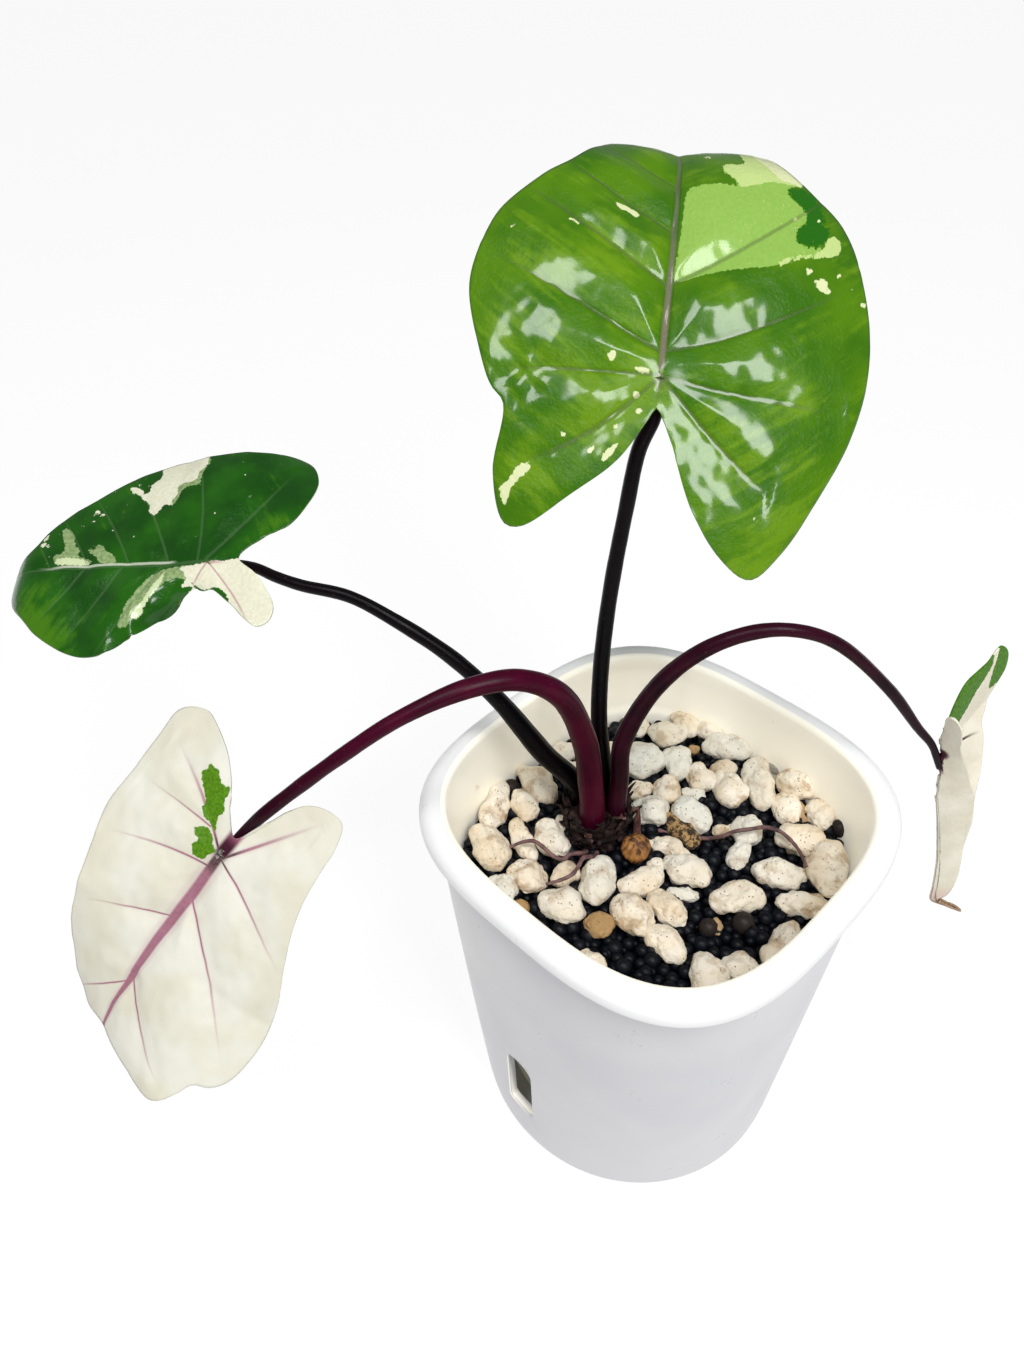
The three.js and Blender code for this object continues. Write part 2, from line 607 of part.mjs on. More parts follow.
const LEAVES = [
  {
    name: 'green', look: finish.greenLeaf, stemLook: finish.blackStem,
    base: [-26.5, 19.3, 248.5], heading: 132.7, rise: 50, roll: 0, spin: 5.5,
    midrib: [[51, -24, 0, 0], [30, -66, 0, 0], [40, -40, 0, 0]],
    tail: [[25, -4, 0, 0], [40, -12, 0, 0]],
    spans: { left: [15, 40], right: [15, 40] },
    sections: [
      { at: -60, left: [4, -10, -22], right: [4, -10, -22] },
      { at: 0, left: [6, -6, -25], right: [6, -6, -25] },
      { at: 55, left: [8, -8, -24], right: [8, -8, -30] },
      { at: 110, left: [8, -10, -26], right: [8, -12, -30] },
    ],
    outline: [
      [-7, 0], [-14, 4], [-28, 10], [-40, 19], [-44.5, 27], [-38, 33.5], [-26, 40], [-8, 47.5],
      [11, 50], [30, 47], [44.5, 41], [57, 28], [71, 20], [86, 10], [101, 0], [87, -8], [72, -16],
      [59, -23.5], [46, -38], [38, -44], [21, -48], [2.5, -43], [-5, -39.5], [-9, -36], [-25, -37],
      [-37, -33], [-37.5, -29], [-29, -18], [-19.5, -7.5], [-10, -1.8],
    ],
    sectors: 46, rings: 6,
    foot: [-19.5, 1],
    stem: [[-20.8, 0.5, 138], [-22.7, -0.3, 154], [-24.9, 2, 173.7],
      [-26.4, 5.9, 194.6], [-27, 10.7, 216.5], [-27.2, 14.4, 231.7]],
    approach: [[-8, 0, -4.2], [-2, 0, -2.7], [3, 0, -2.5]], radii: [2.6, 2.5, 2.2, 2, 1.9],
  },
  {
    name: 'dark', look: finish.darkLeaf, stemLook: finish.blackStem,
    base: [-114.7, -60.4, 194.2], heading: 219, rise: -4, roll: -24, spin: 0,
    midrib: [[54, -8, 0, 0], [10, -46, 0, 0], [14, -50, 0, 0], [40, -40, 0, 0]],
    tail: [[25, -6, 0, 0], [40, -12, 0, 0]],
    spans: { left: [5, 6, 6, 8, 20], right: [15, 15, 20] },
    sections: [
      { at: -50, left: [0, -3, -3, -4, -10, -20], right: [2, -8, -12, -20] },
      { at: -12, left: [-4, -2, -2, -3, 0, -10], right: [3, -8, -10, -20] },
      { at: -3, left: [-6, 0, -8, -8, -4, -10], right: [4, -6, -8, -20] },
      { at: 3, left: [2, -30, -40, 0, 0, 0], right: [4, -6, -8, -20] },
      { at: 9, left: [6, -26, -50, -10, 0, 0], right: [4, -6, -8, -20] },
      { at: 15, left: [2, 4, -30, -50, -6, 0], right: [3, -8, -8, -20] },
      { at: 20, left: [-2, 2, 6, -30, -40, 0], right: [3, -8, -8, -20] },
      { at: 27, left: [-5, 0, 2, 0, -20, -20], right: [3, -8, -8, -20] },
      { at: 36, left: [-6, -2, -2, -3, -4, -8], right: [2, -8, -8, -20] },
      { at: 52, left: [-2, -2, -2, -3, -8, -14], right: [0, -8, -8, -16] },
      { at: 110, left: [-4, -3, -3, -4, -15, -20], right: [-4, -8, -16, -20] },
    ],
    outline: [
      [-8.5, 1.5], [-14, 7.5], [-21, 12.5], [-25, 20], [-26.5, 29], [-22.5, 37], [-14, 41],
      [-3.5, 40], [8, 38], [17, 37.5], [26, 33], [37.5, 25.5], [49, 17], [57, 8], [61.5, 5],
      [66, 2.5], [68, -1], [66, -5], [61.3, -10.2], [54.4, -15.2], [49.8, -19.6], [44.5, -23.1],
      [39.6, -25.5], [35.2, -26.6], [29.5, -26.7], [25.5, -25.3], [21.4, -22.8], [18.7, -20.8],
      [16.4, -19.2], [13.8, -17.6], [10.9, -15.2], [9.1, -13], [6.4, -9.7], [3.2, -7.6],
      [1.3, -8.3], [-2.2, -8], [-7.3, -11.5], [-9.9, -13.5], [-13.1, -16.6], [-16.1, -18.6],
      [-19.2, -17], [-20.2, -13.3], [-18.2, -8.8], [-14.2, -3.6],
    ],
    sectors: 46, rings: 5,
    foot: [-24.5, -6],
    stem: [[-26.5, -8, 134], [-31.7, -12.5, 142], [-43.2, -19.9, 161.5],
      [-54.3, -26.3, 174.4], [-67.1, -34.4, 184.9], [-78.2, -40.5, 190.5], [-90.2, -47.5, 191.9]],
    approach: [[-19.5, -4, -1.5], [-13, -0.8, -2.1], [-8, 0.4, -2.4], [-1, 0, -2.5], [4, 0, -2.4]],
    radii: [3, 3.1, 2.3, 1.8, 1.6, 1.4],
  },
  {
    name: 'white', look: finish.whiteLeaf, stemLook: finish.redStem,
    base: [-65.8, -99.7, 145.2], heading: 263, rise: -38, roll: -26, spin: 1,
    midrib: [[30, -4, 0, 0], [26, -12, -2, 20], [20, -42, -14, 14], [40, -24, -10, 6]],
    tail: [[25, -6, 0, 0], [40, -10, 0, 0]],
    spans: { left: [15, 30], right: [15, 30] },
    sections: [
      { at: -60, left: [0, -4, -10], right: [0, -4, -10] },
      { at: 0, left: [3, -8, -25], right: [4, -6, -20] },
      { at: 30, left: [1, -9, -33], right: [12, -6, -14] },
      { at: 54, left: [0, -10, -38], right: [12, -8, -18] },
      { at: 72, left: [-2, -8, -30], right: [0, -20, -36] },
      { at: 110, left: [-4, -8, -30], right: [-10, -20, -40] },
    ],
    outline: [
      [-5.5, -0.2], [-9.5, 5], [-15, 9.5], [-20.5, 15.5], [-24, 22.5], [-25.5, 29], [-21, 35.5],
      [-12, 35.5], [0, 35], [10.5, 34], [21, 30], [31, 26], [42, 23], [51, 17.5], [57, 13.5],
      [60.3, 8.5], [60.5, 2], [61.6, -4], [62.7, -9.5], [63.8, -15], [65, -21], [65.5, -25],
      [63, -28], [58, -29.8], [52.5, -32], [51, -36], [47, -39], [34, -39.5], [23, -36.5], [14, -32],
      [5, -28], [-4, -25], [-13, -23.5], [-21, -22.5], [-27, -19.5], [-26.5, -13], [-23.5, -8.8],
      [-15, -5],
    ],
    sectors: 44, rings: 5,
    foot: [-16.6, -8.6],
    stem: [[-17.8, -8.8, 140], [-19.8, -9.8, 154.6], [-23.3, -16.4, 173.8],
      [-28.3, -26.2, 182.3], [-34.3, -37.9, 183.5], [-42.6, -54.3, 178.8], [-50, -68.8, 170.3]],
    approach: [[-21, -3.7, 0.8], [-15, -2.1, -0.2], [-12, -1.3, -1.3], [-8, -0.5, -2.5],
      [-1, 0, -2.7], [4, 0, -2.5]],
    radii: [3.9, 3.7, 3, 2.1, 1.9, 1.5],
  },
  {
    name: 'rolled', look: finish.whiteLeaf, stemLook: finish.redStem,
    base: [50.4, 63.3, 146], heading: 45, rise: -71, roll: 0, spin: 0,
    midrib: [[12, -13, 0, 0], [12, 10, 0, 0], [24, -3, 0, 0], [21, -8, 0, 0], [5, 60, 0, 0],
      [14, 0, 0, 50]],
    tail: [[20, -4, 0, 0], [30, -8, 0, 0]],
    spans: { left: [10, 20], right: [10, 20] },
    sections: [
      { at: -40, left: [54, 0, 5], right: [20, 20, 40] },
      { at: -12, left: [50, 0, 5], right: [30, 20, 40] },
      { at: 0, left: [46, 0, 10], right: [48, 20, 40] },
      { at: 16, left: [58, 10, 40], right: [58, 30, 60] },
      { at: 36, left: [72, 20, 60], right: [64, 40, 90] },
      { at: 110, left: [74, 20, 70], right: [66, 50, 90] },
    ],
    outline: [
      [-5.5, 0.3], [-9, 1.4], [-13, 2.6], [-17.5, 4.2], [-18.5, 6.5], [-15, 8], [-9, 7], [-4, 5.8],
      [1.1, 6], [10.8, 8.2], [17.6, 10.2], [24.3, 10], [30.5, 8.8], [40, 8], [50, 7.6], [60, 7],
      [67, 5.5], [70.5, 3], [74, 2], [79, 2.2], [83, 1.4], [85, 0], [83, -1.4], [79, -2], [74, -2],
      [70, -3.6], [64, -6.4], [56, -8], [46, -9], [36, -11], [26.2, -12.6], [18.9, -14.9],
      [10.1, -16.9], [5.8, -18.1], [3.4, -18.6], [0.4, -23], [-3.3, -27.9], [-6.2, -31.2],
      [-11.5, -32.4], [-15.7, -30.2], [-16, -27.9], [-14.6, -24.5], [-14.8, -20.1], [-15.1, -14.6],
      [-12.1, -8.4], [-7.5, -3.5],
    ],
    sectors: 40, rings: 5,
    foot: [-13.2, -1.6],
    stem: [[-13.4, -0.8, 137], [-14, 0, 150.6], [-8.4, 6.2, 172],
      [0.3, 13.7, 185.4], [9.2, 22.2, 191], [16.5, 28.8, 191.4], [24, 36.7, 186.8],
      [36, 48.6, 170.8]],
    approach: [[-12, 0, -5.2], [-4, 0, -2.7], [2, 0, -2.4]], radii: [2.9, 2.7, 2.2, 1.7, 1.6, 1.5],
  },
];

for (const leaf of LEAVES) {
  add(`leaf_${leaf.name}`, bladeGeometry(leaf), leaf.look);
  add(`stem_${leaf.name}`, limb(stemPoints(leaf), leaf.radii, 8, 20), leaf.stemLook);
}

export default group;
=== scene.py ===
import math
import random

import bmesh
import bpy
from mathutils import Matrix, Vector, kdtree, noise


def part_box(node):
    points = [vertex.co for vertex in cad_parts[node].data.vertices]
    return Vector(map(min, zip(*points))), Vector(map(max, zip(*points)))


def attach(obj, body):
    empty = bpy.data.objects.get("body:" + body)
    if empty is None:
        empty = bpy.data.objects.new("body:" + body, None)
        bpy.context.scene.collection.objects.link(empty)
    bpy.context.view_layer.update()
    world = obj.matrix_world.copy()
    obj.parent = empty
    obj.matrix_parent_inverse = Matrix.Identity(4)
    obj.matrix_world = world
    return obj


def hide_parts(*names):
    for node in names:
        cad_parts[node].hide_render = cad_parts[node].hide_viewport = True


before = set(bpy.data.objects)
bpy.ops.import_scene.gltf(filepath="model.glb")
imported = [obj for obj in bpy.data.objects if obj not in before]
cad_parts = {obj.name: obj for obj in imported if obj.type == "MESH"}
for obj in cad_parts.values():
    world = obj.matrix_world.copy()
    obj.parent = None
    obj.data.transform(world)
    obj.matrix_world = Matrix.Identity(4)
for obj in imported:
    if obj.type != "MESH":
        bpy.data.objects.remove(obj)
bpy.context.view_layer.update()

# The pot is one white plastic moulding, about 3 mm thick. Its round foot grows into a rounded
# square under a rolled rim. An arched slot through the front wall fills and drains the reservoir.
MM = 0.001
POT_HEIGHT = 140
BASE_HALF = 51.5
NECK_HALF = 56
NECK_Z = 132
RIM_HALF = 60
WALL = 3
FOOT_ROUND = 5.7
GLOW_Z = 105
PANEL_ANGLE, PANEL_REACH = 135, 15
PANEL_Z, PANEL_HALF = 126, 9
PANEL_SHARE = 0.9 / 55
SLOT_X = -4.5
SLOT_HALF, SLOT_BOTTOM, SLOT_TOP = 5.25, 21.8, 54


class Shade:
    """An output socket of a material. Maths on it adds Math nodes, and node() adds any other."""

    def __init__(self, tree, socket=None):
        self.tree = tree
        self.socket = socket

    def plug(self, place, value):
        if isinstance(value, Shade):
            self.tree.links.new(value.socket, place)
        else:
            place.default_value = value

    def node(self, kind, settings=None, sockets=None, output=0):
        made = self.tree.nodes.new("ShaderNode" + kind)
        for key, value in (settings or {}).items():
            setattr(made, key, value)
        for place, value in (sockets or {}).items():
            self.plug(made.inputs[place], value)
        return Shade(self.tree, made.outputs[output])

    def math(self, operation, *values):
        return self.node("Math", {"operation": operation}, dict(enumerate((self, *values))))

    def __add__(self, other):
        return self.math("ADD", other)

    def __sub__(self, other):
        return self.math("SUBTRACT", other)

    def __rsub__(self, other):
        return self.node("Math", {"operation": "SUBTRACT"}, {0: other, 1: self})

    def __mul__(self, other):
        return self.math("MULTIPLY", other)

    def __truediv__(self, other):
        return self.math("DIVIDE", other)

    __radd__ = __add__
    __rmul__ = __mul__

    def step(self, low, high):
        """0 below low and 1 above high, with a soft change between."""
        settings = {"interpolation_type": "SMOOTHSTEP"}
        return self.node("MapRange", settings, {0: self, 1: low, 2: high})

    def mix(self, first, second):
        """first where this is 0 and second where it is 1, as colours."""
        colours = [c if isinstance(c, Shade) else (*c, 1) for c in (first, second)]
        sockets = {0: self, 6: colours[0], 7: colours[1]}
        return self.node("Mix", {"data_type": "RGBA"}, sockets, output=2)

    def noise(self, place, scale, detail=2.0, roughness=0.5):
        sockets = {"Vector": place, "Scale": scale, "Detail": detail, "Roughness": roughness}
        return self.node("TexNoise", None, sockets)

    def stored(self, name, output="Fac"):
        """What the mesh keeps on each of its corners under a name."""
        return self.node("Attribute", {"attribute_name": name}, output=output)

    def part(self, index):
        """The first, second or third number of a vector."""
        return self.node("SeparateXYZ", None, {0: self}, output=index)

    def stretched(self, *scale):
        """A place squeezed or drawn out, so that a pattern on it runs along one axis."""
        return self.node("Mapping", None, {"Vector": self, "Scale": scale})


def finish(name, **constants):
    """A material, its shader's sockets to link, and a Shade to build from."""
    material = bpy.data.materials.new(name)
    material.use_nodes = True
    shader = material.node_tree.nodes["Principled BSDF"]
    for key, value in constants.items():
        shader.inputs[key.replace("_", " ")].default_value = value
    return material, shader.inputs, Shade(material.node_tree)


def bumped(shade, inputs, height, strength, distance):
    """Feeds a height, in units of distance in metres, to the shader's Normal."""
    sockets = {"Height": height, "Strength": strength, "Distance": distance}
    shade.plug(inputs["Normal"], shade.node("Bump", None, sockets))


def place_in_mm(shade):
    """Object coordinates in millimetres."""
    point = shade.node("TexCoord", output="Object")
    sockets = {0: point, 1: (1000, 1000, 1000)}
    return shade.node("VectorMath", {"operation": "MULTIPLY"}, sockets)


def mesh_object(name, bm):
    mesh = bpy.data.meshes.new(name)
    bm.to_mesh(mesh)
    bm.free()
    obj = bpy.data.objects.new(name, mesh)
    bpy.context.scene.collection.objects.link(obj)
    return obj


def piece(name, bm, material, slot, *replaced):
    """Makes a mesh, smooth all over, a piece of the plant that rides with the pot."""
    for face in bm.faces:
        face.smooth = True
    obj = mesh_object(name, bm)
    obj.data.materials.append(material)
    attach(obj, "root")
    if replaced:
        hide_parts(*replaced)
    return obj


def reach(angle, z):
    """How far the pot's plan reaches at an angle: a circle at the foot, a rounded square above."""
    n = 2 + 1.06 * min(max(z / NECK_Z, 0), 1)
    return (abs(math.cos(angle)) ** n + abs(math.sin(angle)) ** n) ** (-1 / n)


def wall_half(z):
    return BASE_HALF + (NECK_HALF - BASE_HALF) * min(z / NECK_Z, 1)


def arc(x, z, radius, start, end, steps):
    """Points of a round stretch of a profile, its angles in degrees."""
    turns = [math.radians(start + (end - start) * k / steps) for k in range(steps + 1)]
    return [(x + radius * math.cos(t), z + radius * math.sin(t)) for t in turns]


def spun(profile, steps, cuts=0):
    """A profile of (radius, height) in mm, its edges cut finer, spun about the middle."""
    bm = bmesh.new()
    points = [bm.verts.new((radius * MM, 0, z * MM)) for radius, z in profile]
    edges = [bm.edges.new(pair) for pair in zip(points, points[1:])]
    if cuts:
        bmesh.ops.subdivide_edges(bm, edges=edges, cuts=cuts)
    bmesh.ops.spin(bm, geom=bm.verts[:] + bm.edges[:], axis=(0, 0, 1), angle=math.tau,
                   steps=steps, use_merge=True)
    bmesh.ops.remove_doubles(bm, verts=bm.verts, dist=1e-6)
    return bm


def square_spin(profile, steps, shift=None):
    """Spins a profile of (half width, height), then gives it the pot's rounded square plan."""
    bm = spun(profile, steps)
    for vertex in bm.verts:
        x, y, z = vertex.co
        angle = math.atan2(y, x)
        scale = reach(angle, z / MM)
        if shift:
            scale += shift(angle, z / MM, math.hypot(x, y) / MM)
        vertex.co = (x * scale, y * scale, z)
    bmesh.ops.recalc_face_normals(bm, faces=bm.faces)
    return bm


def pot_profile():
    """From the middle of the underside, up the outside, over the rim and down to the floor."""
    foot = arc(BASE_HALF - FOOT_ROUND, FOOT_ROUND, FOOT_ROUND, -90, 0, 8)
    outside = [(wall_half(z), z) for z in range(10, 130, 8)]
    under_lip = [(wall_half(129), 129), *arc(57.8, 130.2, 1.7, 180, 100, 4)]
    lip = [*arc(RIM_HALF - 2.4, 134.4, 2.4, -70, 0, 5), *arc(RIM_HALF - 3.9, 136.1, 3.9, 8, 90, 8)]
    roll = [(55.2, 139.9), *arc(54.9, 138, 1.9, 100, 178, 6)]
    inside = [(wall_half(z) - WALL, z) for z in [135.2, *range(134, 113, -1), *range(104, 10, -12)]]
    floor = [(BASE_HALF - 4.2, 5), (BASE_HALF - 6.5, 3.4), (BASE_HALF - 9, 3), (20, 3), (0, 3)]
    return [(0, 0.5), (40, 0.5), (42, 0), *foot, *outside, *under_lip, *lip, *roll, *inside, *floor]


def corner_recess(angle, z, radius):
    """The shallow panel moulded in the inner face at a corner, as a share of the radius."""
    if radius > wall_half(z) - WALL / 2 or z < 110:
        return 0
    aside = abs(math.degrees(angle) - PANEL_ANGLE) - PANEL_REACH
    above = abs(z - PANEL_Z) - PANEL_HALF
    return PANEL_SHARE / (1 + math.exp(aside * 1.6)) / (1 + math.exp(above * 2.4))


def slot_cutter():
    """The slot's space in mm, pushed in from outside the wall: an arch whose edge flares out."""
    tall = (SLOT_TOP - SLOT_BOTTOM) / 2
    middle = SLOT_BOTTOM + tall
    bm = bmesh.new()
    bmesh.ops.create_grid(bm, x_segments=1, y_segments=1, size=1)
    for vertex in bm.verts:
        vertex.co = (SLOT_HALF * vertex.co.x, 0, SLOT_BOTTOM if vertex.co.y < 0 else SLOT_TOP)
    for height, round_off, segments in ((SLOT_BOTTOM, 1.6, 4), (SLOT_TOP, SLOT_HALF * 0.999, 12)):
        corners = [v for v in bm.verts if abs(v.co.z - height) < 0.01]
        bmesh.ops.bevel(bm, geom=corners, offset=round_off, affect="VERTICES",
                        segments=segments, profile=0.5, material=-1)
    cap = bm.faces[:]
    grown = 0.0
    for depth, lip in ((-3, 0.6), (0, 0.55), (0.2, 0.25), (0.5, 0.08), (1, 0), (9, -0.3)):
        if depth >= 0:
            made = bmesh.ops.extrude_face_region(bm, geom=cap)["geom"]
            if depth > 0:
                bmesh.ops.delete(bm, geom=cap, context="FACES_ONLY")
            cap = [g for g in made if isinstance(g, bmesh.types.BMFace)]
        for vertex in {v for face in cap for v in face.verts}:
            x = vertex.co.x * (SLOT_HALF + lip) / (SLOT_HALF + grown)
            z = middle + (vertex.co.z - middle) * (tall + lip) / (tall + grown)
            vertex.co = (x, depth, z)
        grown = lip
    return bm


def pot_plastic():
    """White plastic with painted light: the outer wall greyer as painted shade, the rim whiter as
    painted light, and inside a cream colour and a glow painted for the light that comes through it.
    """
    material, inputs, shade = finish("white_plastic", Specular_IOR_Level=0.3,
                                     Emission_Strength=1.0)
    place = place_in_mm(shade)
    inside = shade.stored("inside")
    tone = shade.noise(place, 0.02, 3).step(0.3, 0.7)
    height = place.part(2)
    # Painted shade and painted light: the outer wall is a darker grey and the rim whiter, set by
    # height
    wall = tone.mix((0.60, 0.60, 0.63), (0.66, 0.655, 0.67))
    white = height.step(124, 138).mix(wall, (0.88, 0.88, 0.88))
    # The cream inside is painted light, for light that comes through the plastic
    cream = tone.mix((0.85, 0.81, 0.70), (0.88, 0.855, 0.78))
    specks = shade.noise(place, 0.42, 0).step(0.80, 0.83) * shade.noise(place, 0.05).step(0.5, 0.6)
    colour = (specks * (0.1 + inside * 0.5)).mix(inside.mix(white, cream), (0.45, 0.36, 0.25))
    shade.plug(inputs["Base Color"], colour)
    scuffs = shade.noise(place, 0.09, 6, 0.7)
    shade.plug(inputs["Roughness"], 0.22 + scuffs * 0.16)
    # A painted glow on the inner wall, though the plastic is no lamp
    shade.plug(inputs["Emission Color"], inside.mix((0, 0, 0), (0.25, 0.24, 0.205)))
    bumped(shade, inputs, shade.noise(place, 0.6, 4), 0.04, 0.0004)
    return material


pot_mesh = square_spin(pot_profile(), 192, corner_recess)
# The inner wall above GLOW_Z, where the plastic gets its painted cream, its painted glow and more
# specks
layer = pot_mesh.verts.layers.float.new("inside")
for vertex in pot_mesh.verts:
    x, y, z = (c / MM for c in vertex.co)
    half = math.hypot(x, y) / reach(math.atan2(y, x), z)
    vertex[layer] = 1.0 if half < wall_half(z) - WALL / 2 and z > GLOW_Z else 0.0
pot = piece("pot_shell", pot_mesh, pot_plastic(), "pot", "pot")

cutter_mesh = slot_cutter()
for vertex in cutter_mesh.verts:
    x = vertex.co.x + SLOT_X
    z = vertex.co.z
    angle = math.atan2(-wall_half(z), x)
    front = -wall_half(z) * reach(angle, z) * abs(math.sin(angle))
    vertex.co = (x * MM, (front + vertex.co.y) * MM, z * MM)
bmesh.ops.recalc_face_normals(cutter_mesh, faces=cutter_mesh.faces)
cutter = mesh_object("slot_space", cutter_mesh)
cut = pot.modifiers.new("slot", "BOOLEAN")
cut.object = cutter
cut.solver = "EXACT"
evaluated = pot.evaluated_get(bpy.context.evaluated_depsgraph_get())
cut_mesh = bpy.data.meshes.new_from_object(evaluated)
pot.modifiers.clear()
cut_mesh.set_sharp_from_angle(angle=math.radians(35))
pot.data = cut_mesh
bpy.data.objects.remove(cutter)


# The planting basket is a matt moulding that hangs inside the pot. Its dark grey-green is painted
# shade, and it has a faint painted glow. Only a strip of it shows, through the slot, so the solid
# keeps its shape and takes its finish.
def basket_plastic():
    # A faint painted glow, and below it a dark grey-green base colour that is painted shade
    material, inputs, shade = finish("basket_plastic", Roughness=0.55, Emission_Strength=1.0,
                                     Emission_Color=(0.11, 0.105, 0.08, 1))
    place = place_in_mm(shade)
    tone = shade.noise(place, 0.08, 3).step(0.3, 0.7)
    shade.plug(inputs["Base Color"], tone.mix((0.13, 0.13, 0.10), (0.17, 0.17, 0.13)))
    bumped(shade, inputs, shade.noise(place, 1.2, 3), 0.1, 0.0003)
    return material


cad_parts["inner_basket"].material_slots[0].material = basket_plastic()

# The bed is fired black beads, 3 to 5 mm across and a few of 6 or 7, loose in the basket and the
# pot. A dark body stands for those below. The top ones lie singly, round the stones and the corm.
BED_Z = 111.5
BED_SLOPE = 0.05
BED_FLOOR = 62
BED_INSET = 3.4
BEAD_PITCH = 3.7
ROW_PITCH = BEAD_PITCH * 0.87
ROWS = int(NECK_HALF / ROW_PITCH)
BEAD_RADII = (1.4, 1.7, 1.9, 2.1, 2.6)
BEAD_LEVELS = (-1.4, 0.5)
LARGE_BEADS = [(33.8, -0.7, 3.5), (35.5, 46.2, 3.0), (-49.5, -9.5, 2.8), (27.5, -8.5, 2.9)]


def bed_at(y):
    return BED_Z + BED_SLOPE * y


def bead_ceramic():
    """Blue-black and faintly dusty. The few large beads are dark brown."""
    material, inputs, shade = finish("black_beads", Specular_IOR_Level=0.15)
    place = place_in_mm(shade)
    tint = shade.stored("tint")
    black = tint.mix((0.0015, 0.0022, 0.0045), (0.004, 0.005, 0.008))
    brown = tint.step(0.985, 0.99).mix(black, (0.022, 0.016, 0.014))
    dust = shade.noise(place, 0.5, 5, 0.65).step(0.6, 0.85)
    shade.plug(inputs["Base Color"], (dust * 0.25).mix(brown, (0.030, 0.028, 0.027)))
    shade.plug(inputs["Roughness"], 0.3 + shade.noise(place, 0.8, 3) * 0.25)
    bumped(shade, inputs, shade.noise(place, 2.5, 3), 0.2, 0.0003)
    return material


def joined(meshes):
    """One bmesh that holds all of these."""
    bm = bmesh.new()
    for part in meshes:
        loose = bpy.data.meshes.new("part")
        part.to_mesh(loose)
        part.free()
        bm.from_mesh(loose)
        bpy.data.meshes.remove(loose)
    return bm


def tinted(bm, verts, tone):
    layer = bm.verts.layers.float.get("tint") or bm.verts.layers.float.new("tint")
    for vertex in verts:
        vertex[layer] = tone


# Each stone as it lies: its node's number, its middle, half its length and half its width in
# mm, how far it is turned, and how tan it is, from 0, grey white, to 1. 2 is stained black.
STONES = [
    (1, -47, -18.5, 9.4, 4.2, -60, 0.45), (2, -40, -13, 5.7, 4.7, -45, 0.4),
    (3, -44, -3.5, 9.3, 4.8, -10, 0.3), (4, -36.5, -31.5, 8.4, 5.6, -25, 0.3),
    (5, -31.5, -22.5, 8.2, 3.6, -25, 0.55), (6, -25.5, -16.5, 7.8, 5, -15, 0.3),
    (7, -20.5, -31.5, 6.2, 5.2, -10, 0.5), (8, -23.5, -39, 5.4, 4.4, -25, 0.1),
    (9, -6.5, -32.5, 6.5, 5.9, 15, 0.2), (10, -4.5, -19, 8.1, 5.3, -55, 0.15),
    (11, 5, -29, 4.3, 4.1, 60, 1), (12, 12, -39.5, 5.6, 3.3, -5, 0.68),
    (13, 10, -20.5, 7.5, 5.2, -5, 0.5), (14, 4.5, -10, 7.5, 4.1, 70, 0.3),
    (15, 15.5, -12, 7.2, 4.1, -5, 0.3), (16, 22.5, -21, 7.4, 4.1, -5, 0.35),
    (17, 12, 2, 7.4, 4.7, 15, 0.2), (17, 2, 5.5, 7.3, 3, 15, 0.25),
    (18, 1, 13, 7.5, 3.7, -15, 2), (19, 0, 19, 7.5, 5.2, -20, 0.05),
    (20, -10, 11.5, 5.8, 5.5, -80, 0.1), (20, -18, 16.5, 4.3, 3.4, 65, 0.6),
    (21, -11.5, 22, 5.1, 4.6, -65, 0.35), (22, -24.5, 25.5, 7.6, 6.6, -70, 0.05),
    (23, -16, 33.5, 7, 4.9, -45, 0.1), (24, -26.5, 41, 6.6, 4.7, 30, 0.2),
    (25, -25.5, 50, 7.2, 4.4, -35, 0.5), (26, -16, 51, 5.4, 4.4, 30, 0.4),
    (26, -8.5, 49, 8.5, 4.6, 35, 0.1), (27, -7, 33, 6, 4.5, -40, 0.3),
    (28, 3, 35, 7.8, 5.2, -30, 0.4), (29, 8, 43.5, 10.5, 5.1, -45, 0.2),
    (30, 17, 51, 6.3, 5.8, -10, 0.45), (31, 20, 40.5, 5.9, 4.5, -45, 0.4),
    (32, 29, 45, 5.9, 4.2, -45, 0.5), (33, 29.5, 33, 7.1, 5.3, 30, 0.45),
    (34, 16, 26, 5.5, 4.4, -45, 0.1), (35, 19.5, 17, 6.6, 3.3, -70, 0.1),
    (36, 32.5, 19, 7.8, 4.6, 30, 0.2), (37, 41.5, 29.5, 10.5, 5.8, -55, 0.3),
    (38, 42.5, 14.5, 7.9, 4.1, 35, 0.45), (39, 28.5, 4, 8.3, 4.7, 55, 0.2),
    (40, 45.5, 1, 8.6, 4, -85, 0.35), (41, 37, -21.5, 7.8, 5.3, -45, 0.3),
    (42, 42.5, -13.5, 6.2, 4.3, 25, 0.4)]
CORM_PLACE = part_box("corm")
CORM_SPREAD = 10.5
STONE_FLATNESS = 0.82
STONE_SUNK = 0.7
WALL_GAP = 0.3


def covered(x, y, inset):
    """True where a stone or the corm hides the bed."""
    low, high = (corner / MM for corner in CORM_PLACE)
    if math.hypot(x - (low.x + high.x) / 2, y - (low.y + high.y) / 2) < CORM_SPREAD * inset:
        return True
    for _, middle_x, middle_y, long, wide, turn, _ in STONES:
        c, s = math.cos(math.radians(turn)), math.sin(math.radians(turn))
        dx, dy = x - middle_x, y - middle_y
        if math.hypot((dx * c + dy * s) / long, (dy * c - dx * s) / wide) < inset:
            return True
    return False


